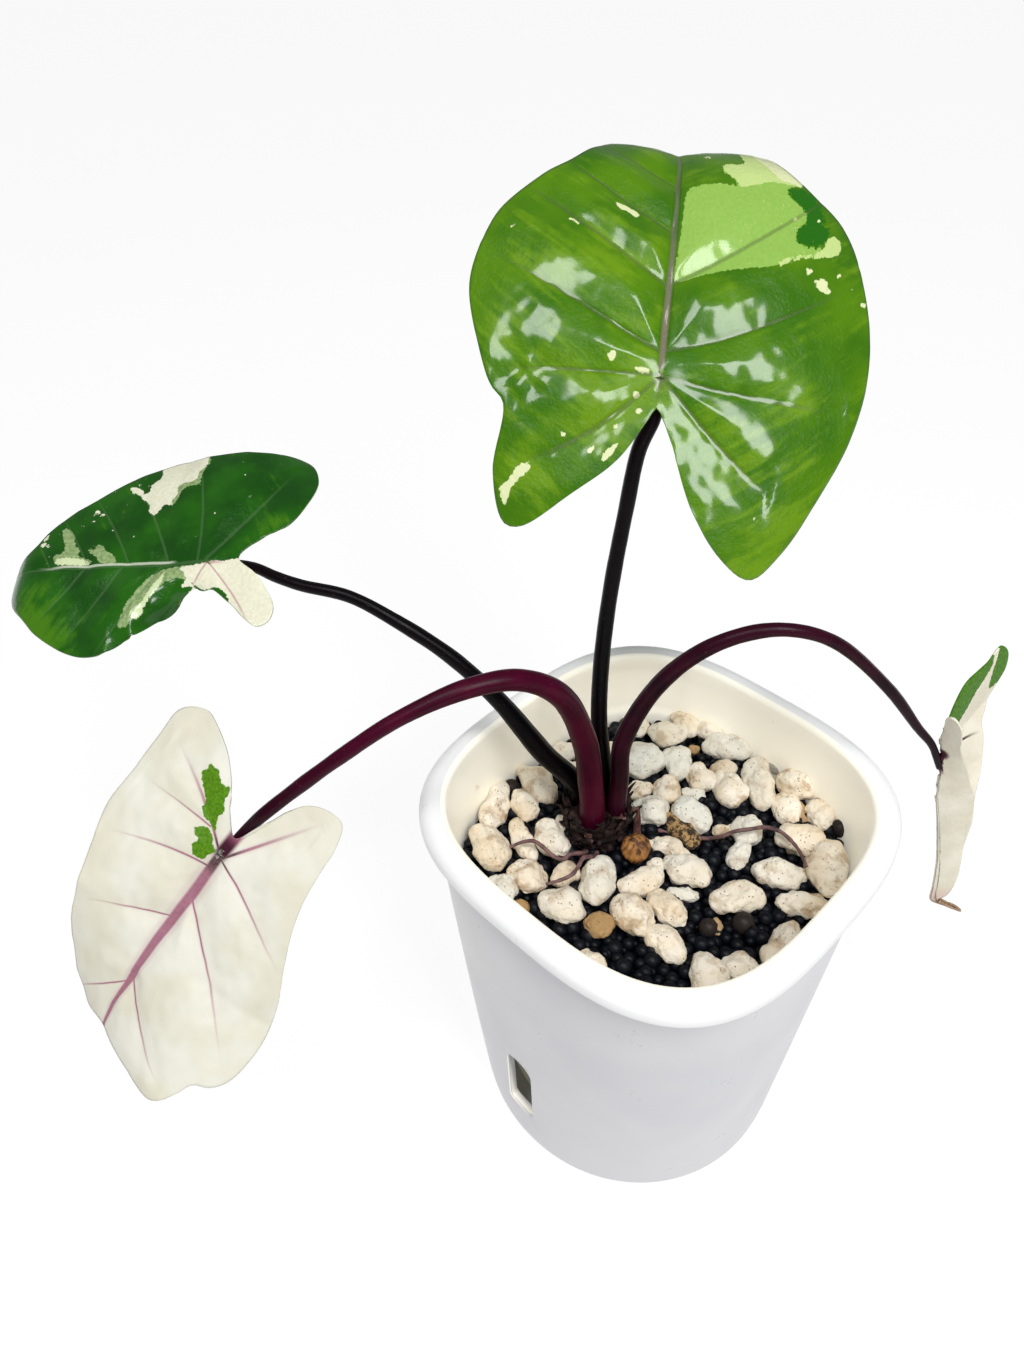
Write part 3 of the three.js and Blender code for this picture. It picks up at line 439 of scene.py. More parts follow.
def bed_body():
    low = BED_Z - 2.2
    side = [(wall_half(z) - BED_INSET, z) for z in (BED_FLOOR, 90, low)]
    profile = [(0, BED_FLOOR), (42, BED_FLOOR), *side, (30, low), (0, low)]
    bm = square_spin(profile, 96)
    tinted(bm, bm.verts, 0)
    for vertex in bm.verts:
        if vertex.co.z > (low - 1) * MM:
            vertex.co.z += BED_SLOPE * vertex.co.y
    return bm


def bead(bm, spot, radius, tone):
    made = bmesh.ops.create_uvsphere(bm, u_segments=9, v_segments=6, radius=radius * MM,
                                     matrix=Matrix.Translation(Vector(spot) * MM))
    tinted(bm, made["verts"], tone)


def bead_row(row, level, draw):
    """The beads of one row. The upper level lies looser and a little aside."""
    bm = bmesh.new()
    tinted(bm, [], 0)
    for column in range(-ROWS, ROWS + 1):
        x = (column + (row % 2) / 2 + level / 2) * BEAD_PITCH + draw.uniform(-0.8, 0.8)
        y = (row + level * 0.6) * ROW_PITCH + draw.uniform(-0.8, 0.8)
        radius = draw.choice(BEAD_RADII)
        tone = draw.random() * 0.95
        z = bed_at(y) + BEAD_LEVELS[level] + draw.uniform(-0.5, 0.5)
        room = (wall_half(BED_Z) - WALL) * reach(math.atan2(y, x), BED_Z) - radius
        if math.hypot(x, y) < room and not covered(x, y, 0.6 + 0.15 * level):
            bead(bm, (x, y, z), radius, tone)
    return bm


def bead_bed():
    draw = random.Random(11)
    large = bmesh.new()
    tinted(large, [], 0)
    for x, y, radius in LARGE_BEADS:
        bead(large, (x, y, bed_at(y) + 1.2), radius, 1)
    levels = [bead_row(row, level, draw) for level in (0, 1) for row in range(-ROWS, ROWS + 1)]
    return joined([bed_body(), large, *levels])


piece("bead_bed", bead_bed(), bead_ceramic(), "beads", "bead_fill")


# The stones are pumice: light, cream to tan, worn round and full of fine brown pits. Each lies
# loose on the beads, on its solid or a few millimetres from it, with small chips in between.
def pumice():
    material, inputs, shade = finish("pumice", Roughness=0.9, Specular_IOR_Level=0.25)
    place = place_in_mm(shade)
    tint = shade.stored("tint")
    tone = shade.noise(place, 0.1, 4).step(0.3, 0.7)
    cream = tone.mix((0.91, 0.84, 0.72), (0.80, 0.67, 0.49))
    grey = (1 - tint.step(0.0, 0.35)).mix(cream, (0.76, 0.745, 0.66))
    tan = tint.step(0.72, 0.95).mix(grey, (0.42, 0.26, 0.11))
    stain = shade.noise(place, 0.17, 5, 0.6).step(0.50, 0.68) * (0.4 + tint.step(0, 0.5) * 0.4)
    stained = stain.mix(tan, (0.44, 0.29, 0.15))
    cells = shade.node("TexVoronoi", None, {"Vector": place, "Scale": 0.9, "Randomness": 1.0})
    holes = (1 - cells.step(0.08, 0.24)) * shade.noise(place, 0.3, 2).step(0.46, 0.56)
    dust = shade.noise(place, 0.9, 4, 0.7).step(0.60, 0.72) * 0.35
    speckled = dust.mix(stained, (0.30, 0.20, 0.12))
    pitted = (holes * 0.8).mix(speckled, (0.14, 0.08, 0.04))
    soot = shade.noise(place, 0.45, 5, 0.7).step(0.46, 0.54) * tint.step(1.4, 1.6)
    shade.plug(inputs["Base Color"], (soot * 0.95).mix(pitted, (0.025, 0.018, 0.014)))
    grain = shade.noise(place, 1.6, 5, 0.7)
    bumped(shade, inputs, grain * 0.8 - holes, 0.8, 0.0008)
    return material


def weathered(vertex, size, seed):
    """Where a smooth stone's corner goes once lumps, dents and pits are worn into it."""
    point = vertex.co / MM + Vector((seed * 17.3, seed * 5.1, seed * 9.7))
    lump = noise.noise(point / (size * 0.5)) * size * 0.13
    knob = noise.noise(point / (size * 0.24)) * size * 0.05
    fine = noise.noise(point / 1.5) * 0.26 + noise.noise(point / 0.6) * 0.08
    pit = max(0, 0.34 - noise.voronoi(point / 2.2)[0][0]) * 1.6
    return vertex.co + vertex.normal * (lump + knob + fine - pit) * MM


def within_wall(point):
    """The point, or the nearest one that is clear of the pot's wall."""
    room = (wall_half(point.z) - WALL) * reach(math.atan2(point.y, point.x), point.z)
    press = min(1, (room - WALL_GAP) / math.hypot(point.x, point.y))
    return Vector((point.x * press, point.y * press, point.z))


def stone(x, y, long, wide, turn, tone, seed, detail):
    """A worn stone, a little flatter than it is wide, sunk into the beads, up to the wall."""
    high = STONE_FLATNESS * wide
    bm = bmesh.new()
    bmesh.ops.create_icosphere(bm, subdivisions=detail, radius=MM)
    bmesh.ops.scale(bm, vec=(long, wide, high), verts=bm.verts)
    bm.normal_update()
    spots = [weathered(vertex, math.sqrt(long * wide) * 2, seed) for vertex in bm.verts]
    for vertex, spot in zip(bm.verts, spots):
        vertex.co = spot
    turned = Matrix.Rotation(math.radians(turn), 3, "Z")
    bmesh.ops.rotate(bm, cent=(0, 0, 0), matrix=turned, verts=bm.verts)
    place = Vector((x, y, bed_at(y) + STONE_SUNK * high))
    bmesh.ops.translate(bm, vec=place * MM, verts=bm.verts)
    for vertex in bm.verts:
        vertex.co = within_wall(vertex.co / MM) * MM
    tinted(bm, bm.verts, tone)
    return bm


pumice_finish = pumice()
for number in sorted({row[0] for row in STONES}):
    node = f"pumice_{number:02d}"
    rows = [row[1:] for row in STONES if row[0] == number]
    stones = joined([stone(*row, number + 50 * k, 5) for k, row in enumerate(rows)])
    piece(node + "_stone", stones, pumice_finish, "pumice", node)

# The small stones and chips, each by its middle, half sizes, turn and how tan it is
CHIPS = [
    (-13.5, -23, 5, 3.7, 85, 0.7), (-5, 27, 4.3, 2.5, 35, 0.1), (-4, 41, 4.3, 3.5, 50, 0.8),
    (4, -2.5, 3, 2.7, 65, 0.2), (15.5, -4.5, 4.9, 2.4, 35, 0.1), (7, 56, 4.4, 2.3, -50, 0),
    (28, 51, 3.3, 2.8, 15, 0.95), (22, 44.5, 5.6, 2.1, -35, 0.9), (10.5, 22, 4.1, 2.3, 55, 0.7),
    (29, -6.5, 2.8, 1.7, -50, 0.9), (-15.5, -40, 2.8, 2.7, 45, 1), (-16.5, 42.5, 2.2, 1.8, 50, 1),
    (-46, 12.5, 4.4, 4, 45, 0.2), (-40, 8.5, 3.4, 3.1, 55, 0.2), (-27, -9.5, 4.2, 2.9, -50, 0.3),
    (-20.5, 11.5, 2.8, 2.6, 60, 0.5), (-24.5, 43, 3.7, 3, 50, 0.3), (-34, 24, 4.5, 3.5, 20, 0.2),
    (-36, 36, 5, 4, 70, 0.3), (-45, 24, 4.5, 3.8, 40, 0.3), (-30, 16, 4, 3, 0, 0.4)]
chips = joined([stone(*row, 90 + number, 4) for number, row in enumerate(CHIPS)])
piece("pumice_chips", chips, pumice_finish, "pumice")


# The corm is the plant's woody foot, ringed by old leaf scars, with a brown cormel beside it and
# dry red-brown scraps of leaf sheath and crumbs of bark round its top.
def corm_bark():
    material, inputs, shade = finish("corm_bark", Roughness=0.85, Specular_IOR_Level=0.2)
    place = place_in_mm(shade)
    squashed = place.stretched(1, 1, 3)
    tone = shade.noise(squashed, 0.3, 6, 0.65)
    dark = tone.step(0.40, 0.65).mix((0.007, 0.004, 0.004), (0.030, 0.014, 0.012))
    shade.plug(inputs["Base Color"], tone.step(0.62, 0.76).mix(dark, (0.13, 0.07, 0.055)))
    bumped(shade, inputs, shade.noise(squashed, 0.9, 6, 0.7), 0.8, 0.001)
    return material


def cormel_skin():
    """Golden brown like a nut's shell, with darker streaks from top to bottom."""
    material, inputs, shade = finish("cormel_skin", Roughness=0.6, Specular_IOR_Level=0.35)
    place = place_in_mm(shade)
    drawn_out = place.stretched(1, 1, 0.35)
    tone = shade.noise(drawn_out, 0.7, 5, 0.6)
    brown = tone.step(0.40, 0.58).mix((0.065, 0.024, 0.008), (0.31, 0.135, 0.034))
    shade.plug(inputs["Base Color"], tone.step(0.60, 0.72).mix(brown, (0.45, 0.24, 0.08)))
    bumped(shade, inputs, tone, 0.6, 0.0008)
    return material


CORM_LOW, CORM_HIGH = CORM_PLACE
CORM_X, CORM_Y = (CORM_LOW.x + CORM_HIGH.x) / 2 / MM, (CORM_LOW.y + CORM_HIGH.y) / 2 / MM
CORM_TOP = CORM_HIGH.z / MM
SCRAPS = 170


def corm():
    """Spun rings that pull in at each scar, roughened all over."""
    profile = [(0, 104), (7, 104), (8.8, 107)]
    for ring in range(6):
        z = 108.5 + ring * 2.5
        slim = 0.15 * ring
        profile += [(9.5 - 0.8 * slim, z), (9.8 - slim, z + 1.2), (8.9 - slim, z + 2)]
    profile += [(8.2, CORM_TOP - 0.4), (6.5, CORM_TOP), (0, CORM_TOP)]
    bm = spun(profile, 72, 2)
    bmesh.ops.recalc_face_normals(bm, faces=bm.faces)
    bm.normal_update()
    for vertex in bm.verts:
        point = vertex.co / MM
        rough = noise.noise(point / 3.5) * 0.8 + noise.noise(point / 1.2) * 0.5
        vertex.co += vertex.normal * (rough - 0.4) * MM
    bmesh.ops.translate(bm, vec=(CORM_X * MM, CORM_Y * MM, 0), verts=bm.verts)
    return bm


def sheet(across, along, spot):
    """A grid of quads with its corners at spot(s, t), in mm, where s and t run from 0 to 1."""
    bm = bmesh.new()
    bmesh.ops.create_grid(bm, x_segments=across, y_segments=along, size=0.5)
    flat = bm.verts.layers.float_vector.new("flat")
    for vertex in bm.verts:
        s, t = vertex.co.x + 0.5, vertex.co.y + 0.5
        vertex[flat] = (s, t, 0)
        vertex.co = Vector(spot(s, t)) * MM
    return bm


def flake(draw, foot, out):
    """One small curled sheet that stands at its foot and leans out."""
    tall, wide = draw.uniform(1.6, 5.2), draw.uniform(1.2, 3.4)
    lean, curl, twist = draw.uniform(-0.2, 1.0), draw.uniform(0.5, 1.6), draw.uniform(-0.8, 0.8)
    side = Vector((-out.y, out.x, 0))

    def spot(s, t):
        width = wide * (1 - 0.8 * t * t)
        bow = math.cos((s - 0.5) * 2 * curl)
        ragged = noise.noise(foot + Vector((s * 5, t * 5, 0)))
        return (foot + side * ((s - 0.5) * width + twist * tall * t)
                + out * (lean * tall * t * t + bow * 0.5 + ragged * 0.4)
                + Vector((0, 0, tall * t + ragged * 0.8)))

    bm = sheet(6, 8, spot)
    bmesh.ops.solidify(bm, geom=bm.faces, thickness=0.25 * MM)
    tinted(bm, bm.verts, draw.random())
    return bm


def crumb(draw, spot):
    """A crumb of bark: a small knobbly lump."""
    size = draw.uniform(0.6, 1.5)
    bm = bmesh.new()
    bmesh.ops.create_icosphere(bm, subdivisions=2, radius=size * MM)
    for vertex in bm.verts:
        vertex.co *= 1 + 0.7 * noise.noise(vertex.co / MM / size + spot)
    bmesh.ops.translate(bm, vec=spot * MM, verts=bm.verts)
    tinted(bm, bm.verts, draw.random() * 0.6)
    return bm


def scraps():
    """The dry sheath and crumbs, strewn round the corm's top and down its side."""
    draw = random.Random(23)
    made = []
    for number in range(SCRAPS):
        angle = draw.uniform(0, math.tau)
        out = Vector((math.cos(angle), math.sin(angle), 0))
        ring, down = draw.choice([(draw.uniform(3, 9), 0.5), (9.4, draw.uniform(0.5, 10))])
        spot = Vector((CORM_X, CORM_Y, CORM_TOP - down)) + out * ring
        made.append(flake(draw, spot, out) if number % 3 == 0 else crumb(draw, spot))
    return joined(made)


def dry_sheath():
    material, inputs, shade = finish("dry_sheath", Roughness=0.75, Specular_IOR_Level=0.25)
    place = place_in_mm(shade)
    tint = shade.stored("tint")
    tone = shade.noise(place, 0.4, 5, 0.65).step(0.3, 0.7)
    brown = tone.mix((0.005, 0.0035, 0.0035), (0.030, 0.014, 0.012))
    pink = tone.mix((0.05, 0.022, 0.018), (0.25, 0.13, 0.11))
    shade.plug(inputs["Base Color"], tint.step(0.82, 0.92).mix(brown, pink))
    bumped(shade, inputs, shade.noise(place, 2, 4), 0.4, 0.0004)
    return material


sheath_finish = dry_sheath()
piece("corm_body", corm(), corm_bark(), "corm", "corm")
piece("corm_flakes", scraps(), sheath_finish, "corm")


def cormel():
    low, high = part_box("cormel")
    middle = (low + high) / 2
    bm = bmesh.new()
    bmesh.ops.create_icosphere(bm, subdivisions=5, radius=(high.x - low.x) / 2)
    for vertex in bm.verts:
        point = vertex.co / MM
        ridge = abs(noise.noise(Vector((point.x, point.y, point.z * 0.3)) / 1.6)) * 0.5
        lump = noise.noise(point / 3) * 0.4
        vertex.co -= vertex.normal * (ridge - lump) * MM
    bmesh.ops.translate(bm, vec=middle, verts=bm.verts)
    return bm


piece("cormel_ball", cormel(), cormel_skin(), "corm", "cormel")


# The leaf stems are smooth and fleshy, near black, dark purple or burgundy. Each stands on the
# corm, arches over the rim and runs under its blade. The white leaf's is the thickest.
def smooth_path(points, count, closed=False):
    """Points evenly spaced along a smooth curve through the given ones, as a centripetal spline."""
    knots = [Vector(p) for p in points]
    if closed:
        knots = [knots[-1], *knots, knots[0], knots[1]]
    else:
        knots = [2 * knots[0] - knots[1], *knots, 2 * knots[-1] - knots[-2]]
    fine = []
    for a, b, c, d in zip(knots, knots[1:], knots[2:], knots[3:]):
        ta = 0
        tb = ta + math.sqrt((b - a).length)
        tc = tb + math.sqrt((c - b).length)
        td = tc + math.sqrt((d - c).length)
        for k in range(24):
            t = tb + (tc - tb) * k / 24
            ab = a.lerp(b, (t - ta) / (tb - ta))
            bc = b.lerp(c, (t - tb) / (tc - tb))
            cd = c.lerp(d, (t - tc) / (td - tc))
            fine.append(ab.lerp(bc, (t - ta) / (tc - ta)).lerp(bc.lerp(cd, (t - tb) / (td - tb)),
                                                               (t - tb) / (tc - tb)))
    fine.append(knots[-2])
    lengths = [0]
    for p, q in zip(fine, fine[1:]):
        lengths.append(lengths[-1] + (q - p).length)
    spaced = []
    index = 0
    steps = count if closed else count - 1
    for k in range(count):
        at = lengths[-1] * k / steps
        while index < len(lengths) - 2 and lengths[index + 1] < at:
            index += 1
        share = (at - lengths[index]) / max(lengths[index + 1] - lengths[index], 1e-9)
        spaced.append(fine[index].lerp(fine[index + 1], share))
    return spaced


def from_list(values, t):
    """A value that runs evenly through a list as t goes from 0 to 1."""
    along = t * (len(values) - 1)
    index = min(int(along), len(values) - 2)
    return values[index] + (values[index + 1] - values[index]) * (along - index)


def limb(points, radii, sides, steps, relief):
    """A closed round limb along a smooth path, in mm. Its relief is added to the radius."""
    path = smooth_path(points, steps + 1)
    frames = []
    side = None
    for k, point in enumerate(path):
        ahead = (path[min(k + 1, steps)] - path[max(k - 1, 0)]).normalized()
        if side is None:
            side = ahead.orthogonal()
        side = (side - ahead * side.dot(ahead)).normalized()
        frames.append((point, side.copy(), ahead.cross(side)))

    def spot(s, t):
        point, right, up = frames[round(t * steps)]
        angle = s * math.tau
        radius = from_list(radii, t) + relief(point, angle, t)
        return point + right * (radius * math.cos(angle)) + up * (radius * math.sin(angle))

    bm = sheet(sides, steps, spot)
    bmesh.ops.remove_doubles(bm, verts=bm.verts, dist=1e-7)
    ends = [edge for edge in bm.edges if edge.is_boundary]
    bmesh.ops.holes_fill(bm, edges=ends, sides=0)
    bmesh.ops.recalc_face_normals(bm, faces=bm.faces)
    return bm


def stem_skin(name, low, high, blush):
    """Glossy skin with fine grain along the stem and some blush where light comes through."""
    material, inputs, shade = finish(name, Specular_IOR_Level=0.1)
    place = place_in_mm(shade)
    flat = shade.stored("flat", "Vector")
    streaks = shade.noise(flat.stretched(40, 6, 1), 1.0, 4)
    tone = shade.noise(place, 0.06, 3).step(0.35, 0.65)
    skin = streaks.step(0.3, 0.7).mix(low, high)
    blushed = (tone * 0.6).mix(skin, blush)
    blushed = (flat.part(1).step(0.55, 1.0) * 0.75).mix(blushed, (0.004, 0.001, 0.003))
    freckle = shade.noise(place, 1.4, 2).step(0.68, 0.72) * 0.12
    shade.plug(inputs["Base Color"], freckle.mix(blushed, (0.20, 0.12, 0.14)))
    shade.plug(inputs["Roughness"], 0.24 + shade.noise(place, 0.3, 4) * 0.18)
    bumped(shade, inputs, streaks + shade.noise(place, 1.5, 3) * 0.5, 0.12, 0.0005)
    return material


def leaf_frame(heading, rise, roll, spin):
    """The directions ahead along the midrib, out of the upper face, and to the right."""
    a, e = math.radians(heading), math.radians(rise)
    forward = Vector((math.cos(a) * math.cos(e), math.sin(a) * math.cos(e), math.sin(e)))
    upright = Vector((-math.cos(a) * math.sin(e), -math.sin(a) * math.sin(e), math.cos(e)))
    face, _ = turn_pair(upright, forward.cross(upright), math.radians(roll))
    ahead, right = turn_pair(forward, forward.cross(face), math.radians(spin))
    return ahead, face, right


def turn_pair(p, q, angle):
    """Turns one direction towards another at right angles to it."""
    c, s = math.cos(angle), math.sin(angle)
    return p * c + q * s, q * c - p * s


# Each leaf in mm and degrees. The stem joins the blade at its base, where the frame is a heading,
# a rise, a roll and a spin. Midrib and tail bend in stretches, and each half curves in spans, by
# the turns of the section at that place. The outline is the blade laid flat. The stem goes from
# its foot to the approach, whose points are ahead, right and above in the blade's frame.
LEAVES = {
    "green": {
        "base": (-26.5, 19.3, 248.5), "frame": (132.7, 50, 0, 5.5),
        "midrib": [(51, -24, 0, 0), (30, -66, 0, 0), (40, -40, 0, 0)],
        "tail": [(25, -4, 0, 0), (40, -12, 0, 0)],
        "spans": ((15, 40), (15, 40)),
        "sections": [
            (-60, (4, -10, -22), (4, -10, -22)), (0, (6, -6, -25), (6, -6, -25)),
            (55, (8, -8, -24), (8, -8, -30)), (110, (8, -10, -26), (8, -12, -30))],
        "outline": [
            (-7, 0), (-14, 4), (-28, 10), (-40, 19), (-44.5, 27), (-38, 33.5), (-26, 40),
            (-8, 47.5), (11, 50), (30, 47), (44.5, 41), (57, 28), (71, 20), (86, 10), (101, 0),
            (87, -8), (72, -16), (59, -23.5), (46, -38), (38, -44), (21, -48), (2.5, -43),
            (-5, -39.5), (-9, -36), (-25, -37), (-37, -33), (-37.5, -29), (-29, -18),
            (-19.5, -7.5), (-10, -1.8)],
        "foot": (-19.5, 1),
        "stem": [(-20.8, 0.5, 138), (-22.7, -0.3, 154), (-24.9, 2, 173.7), (-26.4, 5.9, 194.6),
                 (-27, 10.7, 216.5), (-27.2, 14.4, 231.7)],
        "approach": [(-8, 0, -4.2), (-2, 0, -2.7), (3, 0, -2.5)],
        "radii": [2.6, 2.5, 2.2, 2, 1.9]},
    "dark": {
        "base": (-114.7, -60.4, 194.2), "frame": (219, -4, -24, 0),
        "midrib": [(54, -8, 0, 0), (10, -46, 0, 0), (14, -50, 0, 0), (40, -40, 0, 0)],
        "tail": [(25, -6, 0, 0), (40, -12, 0, 0)],
        "spans": ((5, 6, 6, 8, 20), (15, 15, 20)),
        "sections": [
            (-50, (0, -3, -3, -4, -10, -20), (2, -8, -12, -20)),
            (-12, (-4, -2, -2, -3, 0, -10), (3, -8, -10, -20)),
            (-3, (-6, 0, -8, -8, -4, -10), (4, -6, -8, -20)),
            (3, (2, -30, -40, 0, 0, 0), (4, -6, -8, -20)),
            (9, (6, -26, -50, -10, 0, 0), (4, -6, -8, -20)),
            (15, (2, 4, -30, -50, -6, 0), (3, -8, -8, -20)),
            (20, (-2, 2, 6, -30, -40, 0), (3, -8, -8, -20)),
            (27, (-5, 0, 2, 0, -20, -20), (3, -8, -8, -20)),
            (36, (-6, -2, -2, -3, -4, -8), (2, -8, -8, -20)),
            (52, (-2, -2, -2, -3, -8, -14), (0, -8, -8, -16)),
            (110, (-4, -3, -3, -4, -15, -20), (-4, -8, -16, -20))],
        "outline": [
            (-8.5, 1.5), (-14, 7.5), (-21, 12.5), (-25, 20), (-26.5, 29), (-22.5, 37), (-14, 41),
            (-3.5, 40), (8, 38), (17, 37.5), (26, 33), (37.5, 25.5), (49, 17), (57, 8), (61.5, 5),
            (66, 2.5), (68, -1), (66, -5), (61.3, -10.2), (54.4, -15.2), (49.8, -19.6),
            (44.5, -23.1), (39.6, -25.5), (35.2, -26.6), (29.5, -26.7), (25.5, -25.3),
            (21.4, -22.8), (18.7, -20.8), (16.4, -19.2), (13.8, -17.6), (10.9, -15.2), (9.1, -13),
            (6.4, -9.7), (3.2, -7.6), (1.3, -8.3), (-2.2, -8), (-7.3, -11.5), (-9.9, -13.5),
            (-13.1, -16.6), (-16.1, -18.6), (-19.2, -17), (-20.2, -13.3), (-18.2, -8.8),
            (-14.2, -3.6)],
        "foot": (-24.5, -6),
        "stem": [(-26.5, -8, 134), (-31.7, -12.5, 142), (-43.2, -19.9, 161.5),
                 (-54.3, -26.3, 174.4), (-67.1, -34.4, 184.9), (-78.2, -40.5, 190.5),
                 (-90.2, -47.5, 191.9)],
        "approach": [(-19.5, -4, -1.5), (-13, -0.8, -2.1), (-8, 0.4, -2.4), (-1, 0, -2.5),
                     (4, 0, -2.4)],
        "radii": [3, 3.1, 2.3, 1.8, 1.6, 1.4]},
    "white": {
        "base": (-65.8, -99.7, 145.2), "frame": (263, -38, -26, 1),
        "midrib": [(30, -4, 0, 0), (26, -12, -2, 20), (20, -42, -14, 14), (40, -24, -10, 6)],
        "tail": [(25, -6, 0, 0), (40, -10, 0, 0)],
        "spans": ((15, 30), (15, 30)),
        "sections": [
            (-60, (0, -4, -10), (0, -4, -10)), (0, (3, -8, -25), (4, -6, -20)),
            (30, (1, -9, -33), (12, -6, -14)), (54, (0, -10, -38), (12, -8, -18)),
            (72, (-2, -8, -30), (0, -20, -36)), (110, (-4, -8, -30), (-10, -20, -40))],
        "outline": [
            (-5.5, -0.2), (-9.5, 5), (-15, 9.5), (-20.5, 15.5), (-24, 22.5), (-25.5, 29),
            (-21, 35.5), (-12, 35.5), (0, 35), (10.5, 34), (21, 30), (31, 26), (42, 23),
            (51, 17.5), (57, 13.5), (60.3, 8.5), (60.5, 2), (61.6, -4), (62.7, -9.5), (63.8, -15),
            (65, -21), (65.5, -25), (63, -28), (58, -29.8), (52.5, -32), (51, -36), (47, -39),
            (34, -39.5), (23, -36.5), (14, -32), (5, -28), (-4, -25), (-13, -23.5), (-21, -22.5),
            (-27, -19.5), (-26.5, -13), (-23.5, -8.8), (-15, -5)],
        "foot": (-16.6, -8.6),
        "stem": [(-17.8, -8.8, 140), (-19.8, -9.8, 154.6), (-23.3, -16.4, 173.8),
                 (-28.3, -26.2, 182.3), (-34.3, -37.9, 183.5), (-42.6, -54.3, 178.8),
                 (-50, -68.8, 170.3)],
        "approach": [(-21, -3.7, 0.8), (-15, -2.1, -0.2), (-12, -1.3, -1.3), (-8, -0.5, -2.5),
                     (-1, 0, -2.7), (4, 0, -2.5)],
        "radii": [3.9, 3.7, 3, 2.1, 1.9, 1.5]},
    "rolled": {
        "base": (50.4, 63.3, 146), "frame": (45, -71, 0, 0),
        "midrib": [(12, -13, 0, 0), (12, 10, 0, 0), (24, -3, 0, 0), (21, -8, 0, 0), (5, 60, 0, 0),
                   (14, 0, 0, 50)],
        "tail": [(20, -4, 0, 0), (30, -8, 0, 0)],
        "spans": ((10, 20), (10, 20)),
        "sections": [
            (-40, (54, 0, 5), (20, 20, 40)), (-12, (50, 0, 5), (30, 20, 40)),
            (0, (46, 0, 10), (48, 20, 40)), (16, (58, 10, 40), (58, 30, 60)),
            (36, (72, 20, 60), (64, 40, 90)), (110, (74, 20, 70), (66, 50, 90))],
        "outline": [
            (-5.5, 0.3), (-9, 1.4), (-13, 2.6), (-17.5, 4.2), (-18.5, 6.5), (-15, 8), (-9, 7),
            (-4, 5.8), (1.1, 6), (10.8, 8.2), (17.6, 10.2), (24.3, 10), (30.5, 8.8), (40, 8),
            (50, 7.6), (60, 7), (67, 5.5), (70.5, 3), (74, 2), (79, 2.2), (83, 1.4), (85, 0),
            (83, -1.4), (79, -2), (74, -2), (70, -3.6), (64, -6.4), (56, -8), (46, -9), (36, -11),
            (26.2, -12.6), (18.9, -14.9), (10.1, -16.9), (5.8, -18.1), (3.4, -18.6), (0.4, -23),
            (-3.3, -27.9), (-6.2, -31.2), (-11.5, -32.4), (-15.7, -30.2), (-16, -27.9),
            (-14.6, -24.5), (-14.8, -20.1), (-15.1, -14.6), (-12.1, -8.4), (-7.5, -3.5)],
        "foot": (-13.2, -1.6),
        "stem": [(-13.4, -0.8, 137), (-14, 0, 150.6), (-8.4, 6.2, 172), (0.3, 13.7, 185.4),
                 (9.2, 22.2, 191), (16.5, 28.8, 191.4), (24, 36.7, 186.8), (36, 48.6, 170.8)],
        "approach": [(-12, 0, -5.2), (-4, 0, -2.2), (6, 0, -0.9)],
        "radii": [2.9, 2.7, 2.2, 1.7, 1.6, 1]},
}


def stem_points(leaf):
    ahead, face, right = leaf_frame(*leaf["frame"])
    base = Vector(leaf["base"])
    x, y = leaf["foot"]
    approach = [base + ahead * along + right * side + face * above
                for along, side, above in leaf["approach"]]
    foot = [(x, y, CORM_TOP - 2), (x, y, CORM_TOP + 1.5), (x, y, CORM_TOP + 5)]
    return [*foot, *leaf["stem"], *approach]


def stem_relief(point, angle, t):
    """A faint unevenness, with two shallow grooves along the stem."""
    groove = -0.12 * max(0, math.cos(2 * angle)) ** 6
    return groove + 0.12 * noise.noise(point / 9) + 0.03 * noise.noise(point / 1.5)


near_black = stem_skin("near_black_skin", (0.0005, 0.0004, 0.0007), (0.002, 0.0015, 0.0022),
                       (0.004, 0.0015, 0.003))
burgundy = stem_skin("burgundy_skin", (0.018, 0.0008, 0.005), (0.044, 0.001, 0.012),
                     (0.072, 0.001, 0.017))
dark_purple = stem_skin("dark_purple_skin", (0.005, 0.0015, 0.003), (0.018, 0.002, 0.007),
                        (0.040, 0.003, 0.013))
STEM_SIDES, STEM_STEPS = 32, 160
STEM_LOOKS = {"green": (near_black, "black_stem"), "dark": (near_black, "black_stem"),
              "white": (burgundy, "red_stem"), "rolled": (dark_purple, "red_stem")}
for name, leaf in LEAVES.items():
    look, slot = STEM_LOOKS[name]
    stem = limb(stem_points(leaf), leaf["radii"], STEM_SIDES, STEM_STEPS, stem_relief)
    piece(f"stem_{name}_skin", stem, look, slot, f"stem_{name}")


def collar(leaf, number):
    """What is left of the leaf sheath round a stem's foot: a short split tube, torn on top."""
    x, y = leaf["foot"]
    radius = leaf["radii"][0] + 0.15

    def spot(s, t):
        angle = s * 5.6 + number * 1.3
        round_about = Vector((math.cos(angle), math.sin(angle), number))
        torn = 1.8 + 3.5 * abs(noise.noise(round_about * 2.2))
        out = radius + 0.3 + 1.3 * t * t + 0.4 * noise.noise(Vector((angle * 2, t * 3, number)))
        return x + out * math.cos(angle), y + out * math.sin(angle), CORM_TOP - 1.5 + torn * t

    bm = sheet(40, 8, spot)
    bmesh.ops.solidify(bm, geom=bm.faces, thickness=0.25 * MM)
    tinted(bm, bm.verts, 0.2 + 0.21 * number)
    return bm


collars = joined([collar(leaf, number) for number, leaf in enumerate(LEAVES.values())])
piece("sheath_collars", collars, sheath_finish, "corm")


